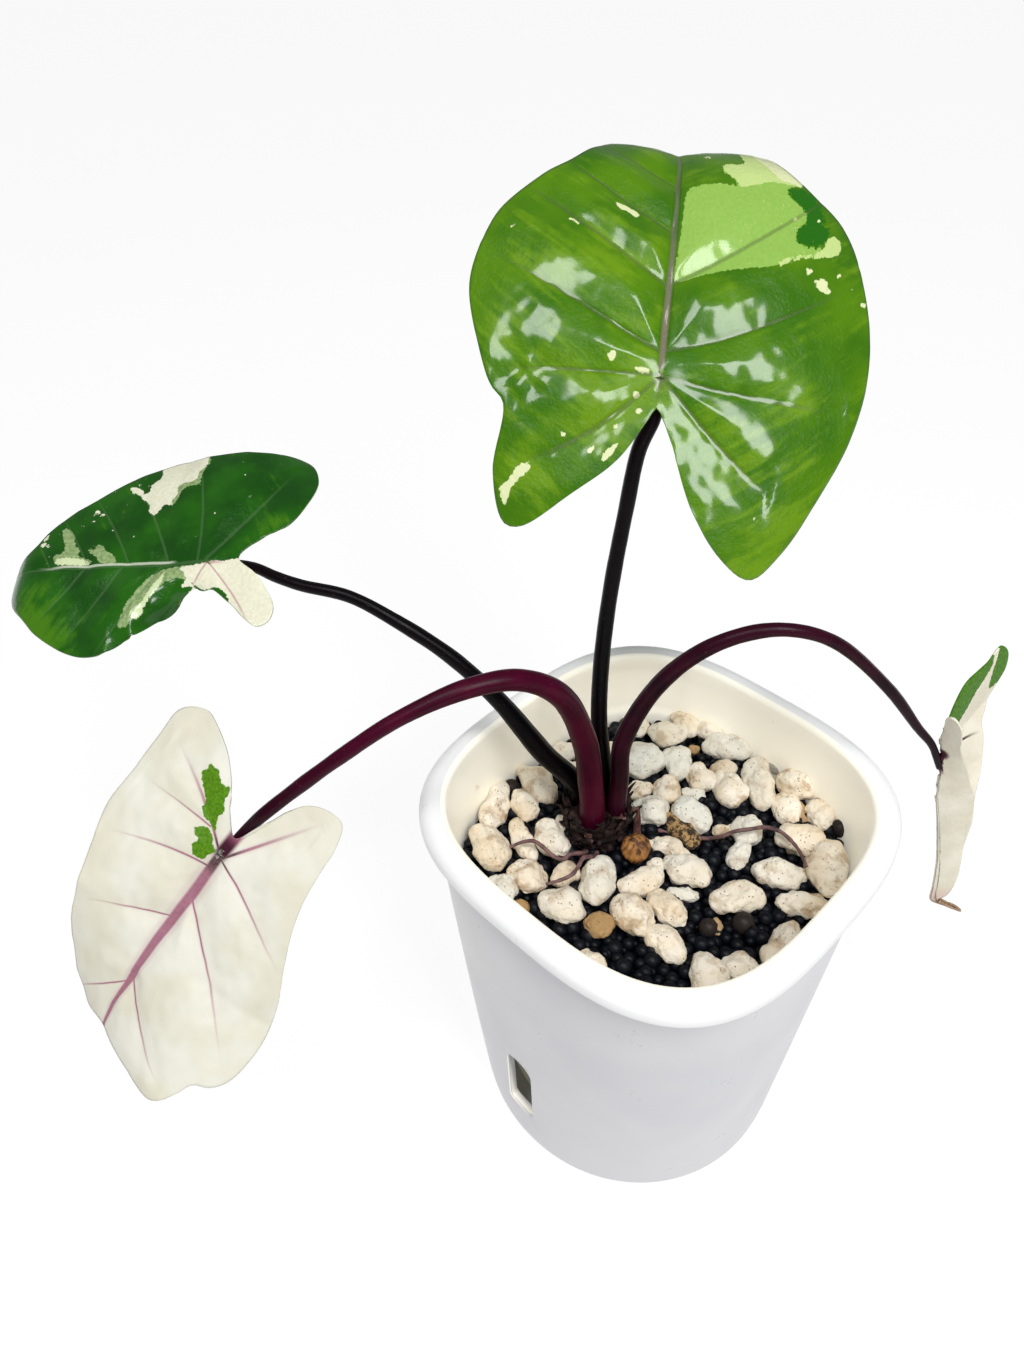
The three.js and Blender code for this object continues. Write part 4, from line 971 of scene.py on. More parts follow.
def dried_stem():
    """The stub's skin, dried to a pinkish brown with darker lines along it."""
    material, inputs, shade = finish("dried_stem", Roughness=0.7, Specular_IOR_Level=0.25)
    place = place_in_mm(shade)
    drawn_out = place.stretched(1, 1, 0.2)
    tone = shade.noise(drawn_out, 1.2, 4, 0.6).step(0.35, 0.65)
    shade.plug(inputs["Base Color"], tone.mix((0.050, 0.020, 0.018), (0.20, 0.085, 0.070)))
    bumped(shade, inputs, tone, 0.5, 0.0004)
    return material


STUB_LOW, STUB_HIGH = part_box("old_stem_stub")
stub_middle = (STUB_LOW + STUB_HIGH) / 2 / MM
stub = limb([(stub_middle.x + 0.3, stub_middle.y, STUB_LOW.z / MM - 1),
             (stub_middle.x - 0.2, stub_middle.y, stub_middle.z),
             (stub_middle.x + 0.1, stub_middle.y - 0.2, STUB_HIGH.z / MM)],
            [1.6, 1.3, 1.2, 0.5], 20, 30, stem_relief)
piece("old_stem_stub_skin", stub, dried_stem(), "red_stem", "old_stem_stub")


# The roots are thin, brown and wiry. They leave the corm and lie over the stones and beads, each
# along the middle of its solid, apart from the first stretch of the long one.
def root_skin():
    material, inputs, shade = finish("root_skin", Roughness=0.6)
    place = place_in_mm(shade)
    tone = shade.noise(place, 0.4, 4).step(0.3, 0.7)
    shade.plug(inputs["Base Color"], tone.mix((0.055, 0.025, 0.026), (0.19, 0.095, 0.090)))
    bumped(shade, inputs, shade.noise(place, 2.5, 3), 0.3, 0.0004)
    return material


def root_path(name):
    """The solid's middle line from the corm outwards: a point for each two rings of six."""
    bm = bmesh.new()
    bm.from_mesh(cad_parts[name].data)
    bmesh.ops.remove_doubles(bm, verts=bm.verts, dist=1e-6)
    middle = Vector((CORM_X, CORM_Y))
    points = sorted((v.co / MM for v in bm.verts), key=lambda point: (point.xy - middle).length)
    bm.free()
    groups = [points[k:k + 12] for k in range(0, len(points), 12)]
    return [sum(group, Vector()) / len(group) for group in groups]


ROOT_SIDES, ROOT_STEPS = 10, 120
ROOT_RADII = [0.75, 0.7, 0.6, 0.6, 0.45]
root_finish = root_skin()
for name in ("root_1", "root_2", "root_3"):
    path = root_path(name)
    if name == "root_1":
        # Its first stretch sinks between the stones.
        for point in path:
            away = (point.xy - path[0].xy).length
            point.z = min(point.z - 1, bed_at(point.y) + 0.5 + max(0, away - 18))
    root = limb(path, ROOT_RADII, ROOT_SIDES, ROOT_STEPS,
                lambda point, angle, t: 0.12 * noise.noise(point / 1.2))
    piece(name + "_wire", root, root_finish, "root", name)


# The blades are thin, leathery and arrow-shaped, the green ones with a wet gloss. They are quilted
# between their veins, and each is marked in its own way. The stem joins at the notch.
def arcs(length, spans, turns, fold):
    """How far across and up a blade's half reaches: a chain of arcs with turns in degrees."""
    across = up = 0
    angle = math.radians(fold)
    left = length
    for k, (span, turn) in enumerate(zip(spans, turns)):
        run = left if k == len(spans) - 1 else min(left, span)
        bend = math.radians(turn) / span * run
        chord = run if abs(bend) < 1e-6 else 2 * run / bend * math.sin(bend / 2)
        across += chord * math.cos(angle + bend / 2)
        up += chord * math.sin(angle + bend / 2)
        angle += bend
        left -= run
    return across, up


def walk_midrib(start, directions, stretches, sign):
    """The midrib bent in stretches of (length, pitch, yaw, twist), in steps of 1 mm."""
    ahead, face, right = directions
    point = start
    stations = [(point, ahead, face, right)]
    for length, *turns in stretches:
        a, b, c = (sign * math.radians(turn) / length for turn in turns)
        for _ in range(length):
            before = ahead
            ahead, face = turn_pair(ahead, face, a)
            ahead, right = turn_pair(ahead, right, b)
            face, right = turn_pair(face, right, c)
            point = point + (before + ahead) * (sign / 2)
            stations.append((point, ahead, face, right))
    return stations


class Blade:
    """A blade laid out flat, u ahead of the stem and v to the right, and bent into place."""

    def __init__(self, leaf):
        start = Vector(leaf["base"])
        directions = leaf_frame(*leaf["frame"])
        back = walk_midrib(start, directions, leaf["tail"], -1)
        self.stations = back[:0:-1] + walk_midrib(start, directions, leaf["midrib"], 1)
        self.first = 1 - len(back)
        self.spans = leaf["spans"]
        self.sections = leaf["sections"]

    def section(self, u, side):
        rows = self.sections
        k = next((i for i, row in enumerate(rows) if row[0] > u), len(rows) - 1)
        k = max(k, 1)
        (low, *a), (high, *b) = rows[k - 1], rows[k]
        t = min(max((u - low) / (high - low), 0), 1)
        return [p + (q - p) * t for p, q in zip(a[side], b[side])]

    def at(self, u, v):
        index = min(max(math.floor(u - self.first), 0), len(self.stations) - 2)
        t = u - self.first - index
        a, b = self.stations[index], self.stations[index + 1]
        inside = min(max(t, 0), 1)
        side = 0 if v < 0 else 1
        fold, *turns = self.section(u, side)
        across, up = arcs(abs(v), self.spans[side], turns, fold)
        if v < 0:
            across = -across
        return a[0].lerp(b[0], t) + a[3].lerp(b[3], inside) * across + a[2].lerp(b[2], inside) * up


# Each vein leaves the midrib at a start and runs outwards: u = start + slope v + bend v v.
# A row is its side, start, slope, bend, where it begins and ends across, and its width.
VEINS = {
    "green": [
        (1, 23.2, 0.50, 0.0078, 0, 44, 1.1), (1, 6.3, 0.22, 0.0065, 0, 46, 1.1),
        (1, 0.3, -0.17, 0.002, 0, 45, 1.0), (1, 0.5, -1.05, 0.0055, 0, 29, 1.3),
        (-1, 0.5, 0, -0.001, 0, 40, 1.0),
        (-1, 6, 0.47, 0.0012, 0, 46, 1.1), (-1, 22.5, 0.6, 0.002, 0, 42, 0.9),
        (-1, 37.2, 0.45, 0.008, 0, 34, 0.7), (-1, 0.3, -1.15, 0.0135, 0, 32, 1.3),
        (-1, 51, 0.5, 0.01, 0, 26, 0.6)],
    "dark": [
        (1, 1, -0.75, 0.004, 0, 34, 1.0), (1, 3, 0.05, 0.004, 0, 40, 0.9),
        (1, 12, 0.4, 0.006, 0, 36, 0.9), (1, 24, 0.5, 0.008, 0, 28, 0.8),
        (1, 37, 0.55, 0.01, 0, 20, 0.7), (1, 49, 0.6, 0.01, 0, 12, 0.6),
        (-1, 0, -0.95, 0.01, 0, 20, 0.6), (-1, 0, 0.6, 0.0, 0, 8, 0.6),
        (-1, 14, 0.45, 0.006, 0, 30, 0.9), (-1, 26, 0.5, 0.008, 0, 24, 0.8),
        (-1, 38, 0.55, 0.01, 0, 18, 0.7)],
    "white": [
        (-1, 2, -1.6, 0, 0, 17, 1.0),
        (-1, 0.5, 0.36, 0.0035, 0, 34, 0.6), (-1, 14.5, 0.68, 0.0055, 0, 36, 0.6),
        (-1, 42.8, 0.82, -0.008, 0, 26, 0.6), (1, 4.3, 0.24, 0.005, 0, 31, 0.6),
        (1, 21.8, 0.44, 0.004, 0, 24, 0.5), (1, 44.6, 1.05, 0, 0, 17, 0.5),
        (1, 0, -0.62, 0.0045, 0, 31, 0.9), (1, -3.8, 0.02, 0.0024, 6.9, 32, 0.5)],
    "rolled": [(-1, 1.2, 0.2, 0.002, 3, 18, 0.8)],
}
# Each midrib's width at the stem in mm, the length over which it thins, and by how much
MIDRIBS = {"green": (1.9, 95, 0.65), "dark": (1.5, 95, 0.65), "white": (3.9, 85, 0.85),
           "rolled": (1.2, 20, 1)}

# The marks each leaf wears, drawn as outlines on the flat blade in mm. Pale is a light
# green, light a yellow green, cream nearly white, and deep a full green among the lighter ones.
MARKS = {
    "green": {
        "pale": [
            [(23.9, 1.1), (25.3, 5.6), (26.4, 9.6), (28.2, 19.1), (29.5, 24.6), (32.1, 28.7),
             (33.7, 33.5), (36.8, 35), (36.2, 30.8), (37.4, 28.9), (40.2, 29.1), (43.6, 31.3),
             (46.7, 31.2), (48.3, 28.9), (49.9, 26.6), (51.8, 26.5), (54.2, 28.9), (58.9, 22.4),
             (62.5, 19.7), (63.5, 16.5), (59, 15.5), (57.5, 11.2), (54.4, 10.8), (53, 12.9),
             (50.7, 14.1), (50.8, 9.5), (49.6, 4), (48.7, 2.3), (42.8, 1.7), (32, 1.2)]],
        "light": [
            [(52.6, 13.7), (54.4, 11.2), (58.2, 10.8), (59, 15.5), (66, 15), (72, 20), (64, 25),
             (57, 29), (53.9, 30), (53.1, 22.2), (51.3, 17.9), (50.3, 14.4)],
            [(30, 24.5), (32.9, 28.7), (34.4, 33.1), (37.4, 36), (39.2, 36), (41, 37.9),
             (40.5, 40), (36.5, 39.7), (33.6, 34.6), (31.7, 28.8), (29.3, 24.9)]],
        "cream": [
            [(54, 27.4), (54.7, 24.1), (58.9, 21.5), (63, 18.5), (72, 20), (64, 25), (57, 29),
             (54, 30)],
            [(27.5, 33.8), (28.6, 36.8), (26.5, 37.7), (26.1, 38.9), (25.1, 36.7), (26.1, 34.7)],
            [(42.9, -14.7), (42.6, -12.6), (40.6, -8.8), (39.3, -9.1), (40.6, -11.7),
             (41.3, -13.9)],
            [(37.6, -25.6), (37.4, -23.7), (36.1, -22.5), (36.6, -24.3)],
            [(4.1, -12.9), (5, -10.9), (4, -10.5), (2.9, -11.7)],
            [(1.8, -6.1), (1.7, -3), (0.6, -2.8), (1, -5.3)],
            [(-19.1, -15), (-17.7, -14.5), (-17.2, -13.3), (-18.8, -14)],
            [(-20.1, -11.5), (-17.6, -10.4), (-16, -8.1), (-17.8, -8.6), (-20.4, -10.7)],
            [(-23.2, -31.1), (-22.3, -28), (-24, -28.1), (-26.2, -30.4), (-28.5, -32),
             (-30.6, -32.5), (-33.1, -33.4), (-30.4, -34.5), (-28.7, -34.9), (-26.8, -32.9),
             (-25, -32)]],
        "deep": [
            [(51.7, 26.3), (52.6, 28.9), (52.2, 31.9), (50.5, 33.9), (46.9, 35.5), (43.4, 35.9),
             (42.6, 37.5), (39.6, 36.4), (36.9, 34.5), (36.2, 30.8), (37.4, 28.9), (40.4, 29.1),
             (43.6, 31.3), (46.7, 31.2), (48.3, 28.9), (49.9, 26.6)]]},
    "dark": {
        "pale": [
            [(8, 38), (7.1, 35.6), (8.3, 30.8), (8.2, 26.8), (11.4, 26.2), (12.9, 25), (13.4, 21.9),
             (14.4, 18.9), (15.8, 21.6), (15.5, 26.4), (13, 29.1), (10.2, 32.1), (8.7, 34.7)],
            [(48.4, 13.5), (47, 13.8), (44.1, 11), (42.7, 7.7), (41.2, 6.5), (40.8, 3.8),
             (38.1, 3.2), (35.9, 1.6), (37.6, 1.2), (48, 2.1), (48.7, 4.5), (45.9, 5),
             (45.9, 7.3), (47.4, 10.6)],
            [(35.1, 6.7), (34.1, 7), (31.4, 4.6), (28.9, 3), (28.1, 1.1), (32.6, 1.2),
             (34.9, 3.4), (37.5, 5), (38.2, 6.2), (35.5, 5.6)],
            [(14.2, -2.1), (17, -4), (19, -7), (20.8, -10), (21.8, -12), (22.5, -14),
             (23.2, -16.5), (23.4, -19), (21.4, -19.4), (16.4, -12.7), (13.7, -8.7), (11.6, -6),
             (8.1, -4.7), (5.6, -5.2), (4, -3), (6.6, -1.1)]],
        "light": [
            [(47.5, 1.8), (47.8, 3), (43, 3.4), (38.5, 2.8), (36.5, 1.4)],
            [(12.5, -3), (15, -7), (17.5, -12), (19.6, -16), (18.6, -17), (15.4, -11), (12.6, -6)]],
        "cream": [
            [(22.6, 34.8), (22.1, 38.2), (19.7, 42), (14.9, 43), (8, 42), (8, 38), (7.9, 34.1),
             (9.3, 31.9), (9.5, 28.7), (11.9, 27.9), (14, 27.5), (14.8, 26.3), (14.1, 23.1),
             (15.1, 21.5), (14.9, 19.4), (17.4, 20), (18.4, 18.4), (20.3, 16.8), (22.1, 18.2),
             (22.5, 20.7), (25.4, 23.1), (26.9, 24.5), (29, 25.2), (30.5, 27.3), (29.1, 27.6),
             (26.4, 26.3), (25.2, 24.8), (23.9, 25.2), (23.5, 28.4), (22, 30.2), (21.6, 32.1)],
            [(8, -1.6), (4, -0.9), (0.9, -0.5), (-1.6, 0.2), (-4.7, 0.2), (-7.8, 0.9),
             (-9.4, 0.9), (-14, -2), (-21, -8), (-24, -16), (-20, -22), (-12, -20), (-6, -15),
             (-1, -12), (4, -13), (5.4, -9), (3.9, -7.2), (6.9, -7.1), (5.6, -4.6)]],
        "deep": [
            [(4.4, -5.8), (1.5, -7.7), (-1.2, -7.9), (-3.6, -7.5), (-5.7, -8.7), (-7.6, -11.5),
             (-9, -14), (-4, -12), (2, -10), (3.3, -7.4)]]},
    "white": {
        "deep": [
            [(-16.4, 18.3), (-15.8, 16.3), (-16.6, 15.4), (-14.2, 12.2), (-14.7, 9.2),
             (-11.4, 8.4), (-8.5, 6.5), (-6.9, 7.2), (-3.5, 5.3), (-4.2, 8.1), (-4.3, 10.3),
             (-6, 12.4), (-7.1, 12.3), (-10.8, 17), (-12.8, 18.7), (-14.2, 17.7)],
            [(-0.4, 10.2), (-2.6, 8.3), (-2.4, 5.4), (-0.9, 3.7), (0.4, 1.7), (2.2, 2.6),
             (4.1, 3.1), (5, 6), (3, 7.8), (0.8, 7.5), (0.5, 8.9)]]},
    "rolled": {
        "deep": [
            [(-1.2, -5.5), (-3.7, -9.3), (-5.6, -13.5), (-8.5, -18.3), (-10.1, -22),
             (-12.5, -25.6), (-18, -26), (-18, -14), (-13, -6), (-7, -2)],
            [(-4.2, -24.1), (-9.3, -25.6), (-13.7, -27.8), (-18, -30), (-14, -35), (-5, -33)]]},
}

# Round cream spots, each by its place and radius, and soft yellow-green zones the same way
DOTS = {
    "green": [(29.5, 32.2, 0.9), (30.5, 40.3, 0.8), (28.3, 43.7, 0.5), (24.7, 47.2, 0.9),
              (35.2, -38.7, 0.6), (-15.2, -21, 0.6), (-4.5, -5, 0.9), (62, 7, 1.0),
              (44.3, 34.7, 0.8), (43.7, 28.6, 0.6), (-8, -4, 0.7), (23, 49, 0.5),
              (-30, 26, 0.4), (-12, -9, 0.5)],
    "dark": [(53, 11.2, 0.8), (53.6, 8.9, 1.0), (51.4, 7.9, 0.5), (38.7, 19, 0.8),
             (36.8, 17.9, 0.7), (39.1, 18.2, 0.5), (36.4, 20.9, 0.4), (38.9, 15.3, 0.5),
             (28, 28.8, 0.4), (25.1, 27.6, 0.3), (5, 8, 0.3), (42, 14, 0.4), (32, 12, 0.3),
             (24, 9, 0.3), (1, 16, 0.3), (-8, 22, 0.3), (-5, 30, 0.3), (50, 4.5, 0.4)],
}
ZONES = {
    "green": [(-0.9, -2.7, 5), (-7.5, -7.4, 8), (-4.3, -15.4, 7), (1.6, -26.4, 6), (-13, -11, 6),
              (-23.6, -27.1, 7), (-40.8, 27.6, 9), (-29.5, 35.5, 7), (-9.4, 14.7, 5),
              (30, -14, 8), (24, -30, 7), (-2, 32, 6), (10, -38, 5), (-18, 22, 6)],
    "dark": [(45, -24, 12), (58, -14, 10), (52, -20, 8), (-15, 12, 6)],
}


def depth_inside(outline):
    """Tells how deep a flat spot lies inside an outline in mm, no more than 3 either way."""
    count = 40 * len(outline)
    ring = smooth_path([(u, v, 0) for u, v in outline], count, closed=True)
    low = [min(point[k] for point in ring) - 3 for k in range(2)]
    high = [max(point[k] for point in ring) + 3 for k in range(2)]
    turn = sum(p.cross(q).z for p, q in zip(ring, ring[1:] + ring[:1]))
    tree = kdtree.KDTree(count)
    for k, point in enumerate(ring):
        tree.insert(point, k)
    tree.balance()

    def depth(u, v):
        if not (low[0] < u < high[0] and low[1] < v < high[1]):
            return -3
        point, index, away = tree.find((u, v, 0))
        ahead = (ring[(index + 1) % count] - ring[index - 1]).normalized()
        inward = (ahead.x * (v - point.y) - ahead.y * (u - point.x)) * (1 if turn > 0 else -1)
        size = abs(inward) if away < 0.5 else away
        return math.copysign(min(size, 3), inward)

    return depth


def valley(name, u, v, width):
    """1 in the bottom of a vein and less beside it, fading towards its end."""
    low = 0
    if u > -3:
        low = math.exp(-((v / width) ** 2)) * (1 - 0.7 * min(max((u - 20) / 30, 0), 1))
    for side, start, slope, bend, begin, end, _ in VEINS[name]:
        x = v * side
        if begin <= x <= end:
            steep = slope + 2 * bend * x
            off = (u - (start + slope * x + bend * x * x)) / math.sqrt(1 + steep * steep)
            low = max(low, math.exp(-((off / width) ** 2)) * (1 - 0.75 * x / end))
    return low


# How deep each leaf's broad valleys and narrow grooves are, how wrinkled and how wavy, in mm.
# Then its crumpled place, by middle, reach and height, and how far its midrib stands out below.
RELIEF = {"green": (1.7, 0.35, 0.16, 0.15), "dark": (1.4, 0.3, 0.12, 0.6),
          "white": (1.9, 0.25, 0.3, 0.6), "rolled": (0, 0, 0.06, 0.15)}
CRUMPLE = {"green": (-5, -36, 10, 1.6), "dark": (0, 0, 1, 0), "white": (60, -24, 8, 0.6),
           "rolled": (76, 0, 8, 0.4)}
RIBS = {"green": 0.8, "dark": 0.8, "white": 0.8, "rolled": 0.1}


def relief(name, u, v, out):
    """The upper face's height: low along the veins, puffed up between them, and wrinkled."""
    broad, narrow, wrinkled, wavy = RELIEF[name]
    height = -broad * valley(name, u, v, 4.5) - narrow * valley(name, u, v, 0.9)
    height += wrinkled * noise.noise(Vector((u, v, 9)) / 3.2)
    height += wrinkled * 1.8 * noise.noise(Vector((u, v, 3)) / 9)
    middle_u, middle_v, size, strength = CRUMPLE[name]
    near = math.exp(-((u - middle_u) ** 2 + (v - middle_v) ** 2) / size ** 2)
    height += strength * near * noise.noise(Vector((u, v, 21)) / 4.5)
    height *= (1 - 0.6 * out ** 6) * (1 - math.exp(-(u * u + v * v) / 80))
    return height + wavy * out ** 4 * noise.noise(Vector((u, v, 40)) / 11)


def fill_marks(name, bm):
    """Writes how deep each corner of the blade lies in each kind of mark and in the zones."""
    flat = bm.verts.layers.float_vector["flat"]
    for kind, outlines in MARKS[name].items():
        layer = bm.verts.layers.float.new(kind)
        depths = [depth_inside(outline) for outline in outlines]
        for vertex in bm.verts:
            u, v, _ = vertex[flat]
            found = [depth(u, v) for depth in depths]
            if kind == "cream":
                found += [radius - math.hypot(u - x, v - y) for x, y, radius in DOTS[name]]
            vertex[layer] = max([-3, *found])
    zone = bm.verts.layers.float.new("zone")
    for vertex in bm.verts:
        u, v, _ = vertex[flat]
        vertex[zone] = sum(math.exp(-((u - x) ** 2 + (v - y) ** 2) / r ** 2)
                           for x, y, r in ZONES.get(name, []))


def leaf_blade(name, sectors, rings, thickness):
    """Fans the outline into rings about the stem, cuts it along the midrib, bends it, and adds
    the lower face and rim."""
    leaf = LEAVES[name]
    blade = Blade(leaf)
    edge = smooth_path([(u, v, 0) for u, v in leaf["outline"]], sectors, closed=True)

    def flat_spot(s, t):
        rim = edge[round(s * sectors) % sectors]
        return rim.x * t, rim.y * t, 0

    bm = sheet(sectors, rings, flat_spot)
    bmesh.ops.remove_doubles(bm, verts=bm.verts, dist=1e-7)
    everything = bm.verts[:] + bm.edges[:] + bm.faces[:]
    bmesh.ops.bisect_plane(bm, geom=everything, dist=1e-6, plane_co=(0, 0, 0),
                           plane_no=(0, 1, 0))
    flat = bm.verts.layers.float_vector["flat"]
    heights = []
    for vertex in bm.verts:
        u, v = vertex.co.x / MM, vertex.co.y / MM
        heights.append(relief(name, u, v, vertex[flat].y) + thickness / 2)
        vertex[flat] = (u, v, 0)
        vertex.co = blade.at(u, v) * MM
    fill_marks(name, bm)
    bmesh.ops.recalc_face_normals(bm, faces=bm.faces)
    middle = min(bm.verts, key=lambda vertex: vertex[flat].length)
    if middle.normal.dot(leaf_frame(*leaf["frame"])[1]) < 0:
        bmesh.ops.reverse_faces(bm, faces=bm.faces)
    bm.normal_update()
    for vertex, height in zip(bm.verts, heights):
        vertex.co += vertex.normal * height * MM
    bm.normal_update()
    upper_rim = [e for e in bm.edges if e.is_boundary]
    lower = bmesh.ops.duplicate(bm, geom=bm.faces[:] + bm.edges[:] + bm.verts[:])["geom"]
    faces = [g for g in lower if isinstance(g, bmesh.types.BMFace)]
    for vertex in [g for g in lower if isinstance(g, bmesh.types.BMVert)]:
        u, v, _ = vertex[flat]
        rib = 0
        if u > -5:
            rib = math.exp(-((v / 1.3) ** 2)) * RIBS[name] * max(0, 1 - abs(u) / 90)
        vertex.co -= vertex.normal * (thickness + rib) * MM
        vertex[flat] = (u, v, 1)
    bmesh.ops.reverse_faces(bm, faces=faces)
    lower_rim = [g for g in lower if isinstance(g, bmesh.types.BMEdge) and g.is_boundary]
    bmesh.ops.bridge_loops(bm, edges=upper_rim + lower_rim)
    bmesh.ops.recalc_face_normals(bm, faces=bm.faces)
    return bm


def vein_mask(shade, name, u, v, spread, fade_from=0.55):
    """1 on the veins and 0 between them; spread widens them, for a soft blush."""
    width, length, loss = MIDRIBS[name]
    width *= spread
    slim = 1.001 - u.step(0, length) * loss
    away = v.math("ABSOLUTE") / slim
    mask = (1 - away.step(width * 0.3, width * 0.6)) * u.step(-6, -1)
    for side, start, slope, bend, begin, end, vein_width in VEINS[name]:
        x = v * side
        line = x * slope + x * x * bend + start
        steep = slope + bend * end
        off = (u - line).math("ABSOLUTE") / math.sqrt(1 + steep * steep)
        size = vein_width * spread
        here = (1 - off.step(size * 0.25, size * 0.75)) * x.step(begin - 0.1, begin + 0.3)
        mask = mask.math("MAXIMUM", here * (1 - x.step(end * fade_from, end)))
    return mask


def leaf_parts(material_name, **constants):
    """The material with what every leaf's pattern starts from."""
    material, inputs, shade = finish(material_name, **constants)
    flat = shade.stored("flat", "Vector")
    return material, inputs, shade, flat, flat.part(0), flat.part(1), flat.part(2)


def marked(shade, flat, kind, torn=1.5):
    """1 inside a kind of mark and 0 outside it, its edge ragged."""
    ragged = (shade.noise(flat, 0.9, 3, 0.6) - 0.5) * torn
    return (shade.stored(kind) + ragged).step(-0.12, 0.12)


def side_grain(shade, u, v, scale):
    """Fine streaks that run as the side veins do, from the midrib outwards and ahead."""
    across = v.math("ABSOLUTE")
    along = u - across * 0.45 - across * across * 0.005
    point = shade.node("CombineXYZ", None, {0: along * scale, 1: v * (scale * 0.2), 2: 0.0})
    return shade.noise(point, 1.0, 3, 0.55)


def wrinkles(shade, flat, inputs, veins, strength):
    """The skin between the finest veins: small dimples of two sizes, and grooves on the veins."""
    coarse = shade.noise(flat, 0.45, 3, 0.6)
    fine = shade.noise(flat, 1.1, 3, 0.6)
    bumped(shade, inputs, coarse * 0.6 + fine * 0.55 - veins * 0.35, strength, 0.0012)


def green_leaf():
    material, inputs, shade, flat, u, v, under = leaf_parts(
        "green_leaf", Coat_Weight=0.6, Coat_Roughness=0.13, Specular_IOR_Level=0.08)
    streaks = side_grain(shade, u, v, 0.35)
    fine = shade.noise(flat, 0.9, 4, 0.6)
    broad = shade.noise(flat, 0.055, 3)
    deep = broad.step(0.35, 0.65).mix((0.031, 0.122, 0.0001), (0.068, 0.182, 0.0001))
    lively = streaks * 0.5 + shade.noise(flat, 0.1, 5, 0.65) * 0.5 + shade.stored("zone") * 0.16
    leafy = (lively.step(0.50, 0.70) * 0.75).mix(deep, (0.130, 0.255, 0.004))
    frayed = shade.noise(flat, 0.5, 4, 0.7).step(0.62, 0.70)
    pale_tone = fine.step(0.3, 0.7).mix((0.215, 0.388, 0.062), (0.242, 0.415, 0.078))
    pale_tone = (frayed * v.step(4, 8) * 0.7).mix(pale_tone, (0.42, 0.52, 0.19))
    colour = marked(shade, flat, "pale").mix(leafy, pale_tone)
    colour = marked(shade, flat, "light").mix(colour, (0.44, 0.56, 0.20))
    colour = marked(shade, flat, "deep", 5).mix(colour, (0.012, 0.110, 0.001))
    colour = marked(shade, flat, "cream").mix(colour, (0.60, 0.64, 0.36))
    specks = shade.noise(flat, 0.8, 3, 0.6).step(0.72, 0.75)
    specks = specks * shade.noise(flat, 0.06, 2).step(0.45, 0.6)
    colour = (specks * 0.8).mix(colour, (0.36, 0.47, 0.11))
    veins = vein_mask(shade, "green", u, v, 0.8)
    colour = (veins * 0.5).mix(colour, (0.065, 0.090, 0.030))
    rib = 1 - (v.math("ABSOLUTE") + u.step(10, 60) * 0.35).step(0.3, 0.9)
    rib_tone = u.step(8, 40).mix((0.17, 0.14, 0.10), (0.11, 0.13, 0.075))
    colour = (rib * u.step(-4, 2) * 0.85).mix(colour, rib_tone)
    shade.plug(inputs["Base Color"], under.step(0.4, 0.6).mix(colour, (0.13, 0.25, 0.04)))
    shade.plug(inputs["Roughness"], 0.2 + fine * 0.12 + under * 0.2)
    wrinkles(shade, flat, inputs, vein_mask(shade, "green", u, v, 1.1), 0.4)
    return material


def dark_leaf():
    material, inputs, shade, flat, u, v, under = leaf_parts(
        "dark_leaf", Coat_Weight=0.6, Coat_Roughness=0.13, Specular_IOR_Level=0.08)
    streaks = side_grain(shade, u, v, 0.45)
    fine = shade.noise(flat, 0.9, 4, 0.6)
    broad = shade.noise(flat, 0.06, 3)
    deep = broad.step(0.35, 0.65).mix((0.004, 0.052, 0.0008), (0.012, 0.098, 0.0015))
    lively = streaks * 0.4 + shade.noise(flat, 0.12, 5, 0.65) * 0.5 + shade.stored("zone") * 0.15
    leafy = (lively.step(0.5, 0.72) * 0.8).mix(deep, (0.060, 0.185, 0.003))
    pale_tone = fine.step(0.3, 0.7).mix((0.17, 0.27, 0.10), (0.34, 0.43, 0.20))
    colour = (marked(shade, flat, "pale") * 0.9).mix(leafy, pale_tone)
    colour = (marked(shade, flat, "light") * 0.85).mix(colour, (0.62, 0.70, 0.42))
    cream = marked(shade, flat, "cream")
    deep_mark = marked(shade, flat, "deep")
    cream = cream * (1 - deep_mark)
    ivory = fine.step(0.3, 0.7).mix((0.64, 0.63, 0.47), (0.72, 0.71, 0.56))
    colour = cream.mix(colour, ivory)
    spots = shade.noise(flat, 0.7, 3, 0.6).step(0.70, 0.73) * (1 - cream)
    spots = spots * (u * 0.6 + v - 22).step(0, 12) * v.step(0, 4)
    colour = (spots * 0.8).mix(colour, (0.60, 0.70, 0.36))
    veins = vein_mask(shade, "dark", u, v, 0.8)
    colour = (veins * 0.3 * (1 - cream)).mix(colour, (0.09, 0.17, 0.07))
    colour = (veins * cream * (1 - v.step(0, 2)) * 0.75).mix(colour, (0.42, 0.20, 0.24))
    rib = (1 - (v - 0.6).math("ABSOLUTE").step(0.15, 0.5)) * u.step(9, 12) * (1 - u.step(44, 54))
    colour = (rib * 0.85).mix(colour, (0.52, 0.56, 0.44))
    olive = streaks.step(0.3, 0.7).mix((0.13, 0.20, 0.03), (0.20, 0.27, 0.06))
    below = (cream * 0.6).mix(olive, (0.7, 0.68, 0.5))
    shade.plug(inputs["Base Color"], under.step(0.4, 0.6).mix(colour, below))
    shade.plug(inputs["Roughness"], 0.2 + fine * 0.12 + under * 0.2 + cream * 0.15)
    wrinkles(shade, flat, inputs, vein_mask(shade, "dark", u, v, 1.1), 0.3)
    return material


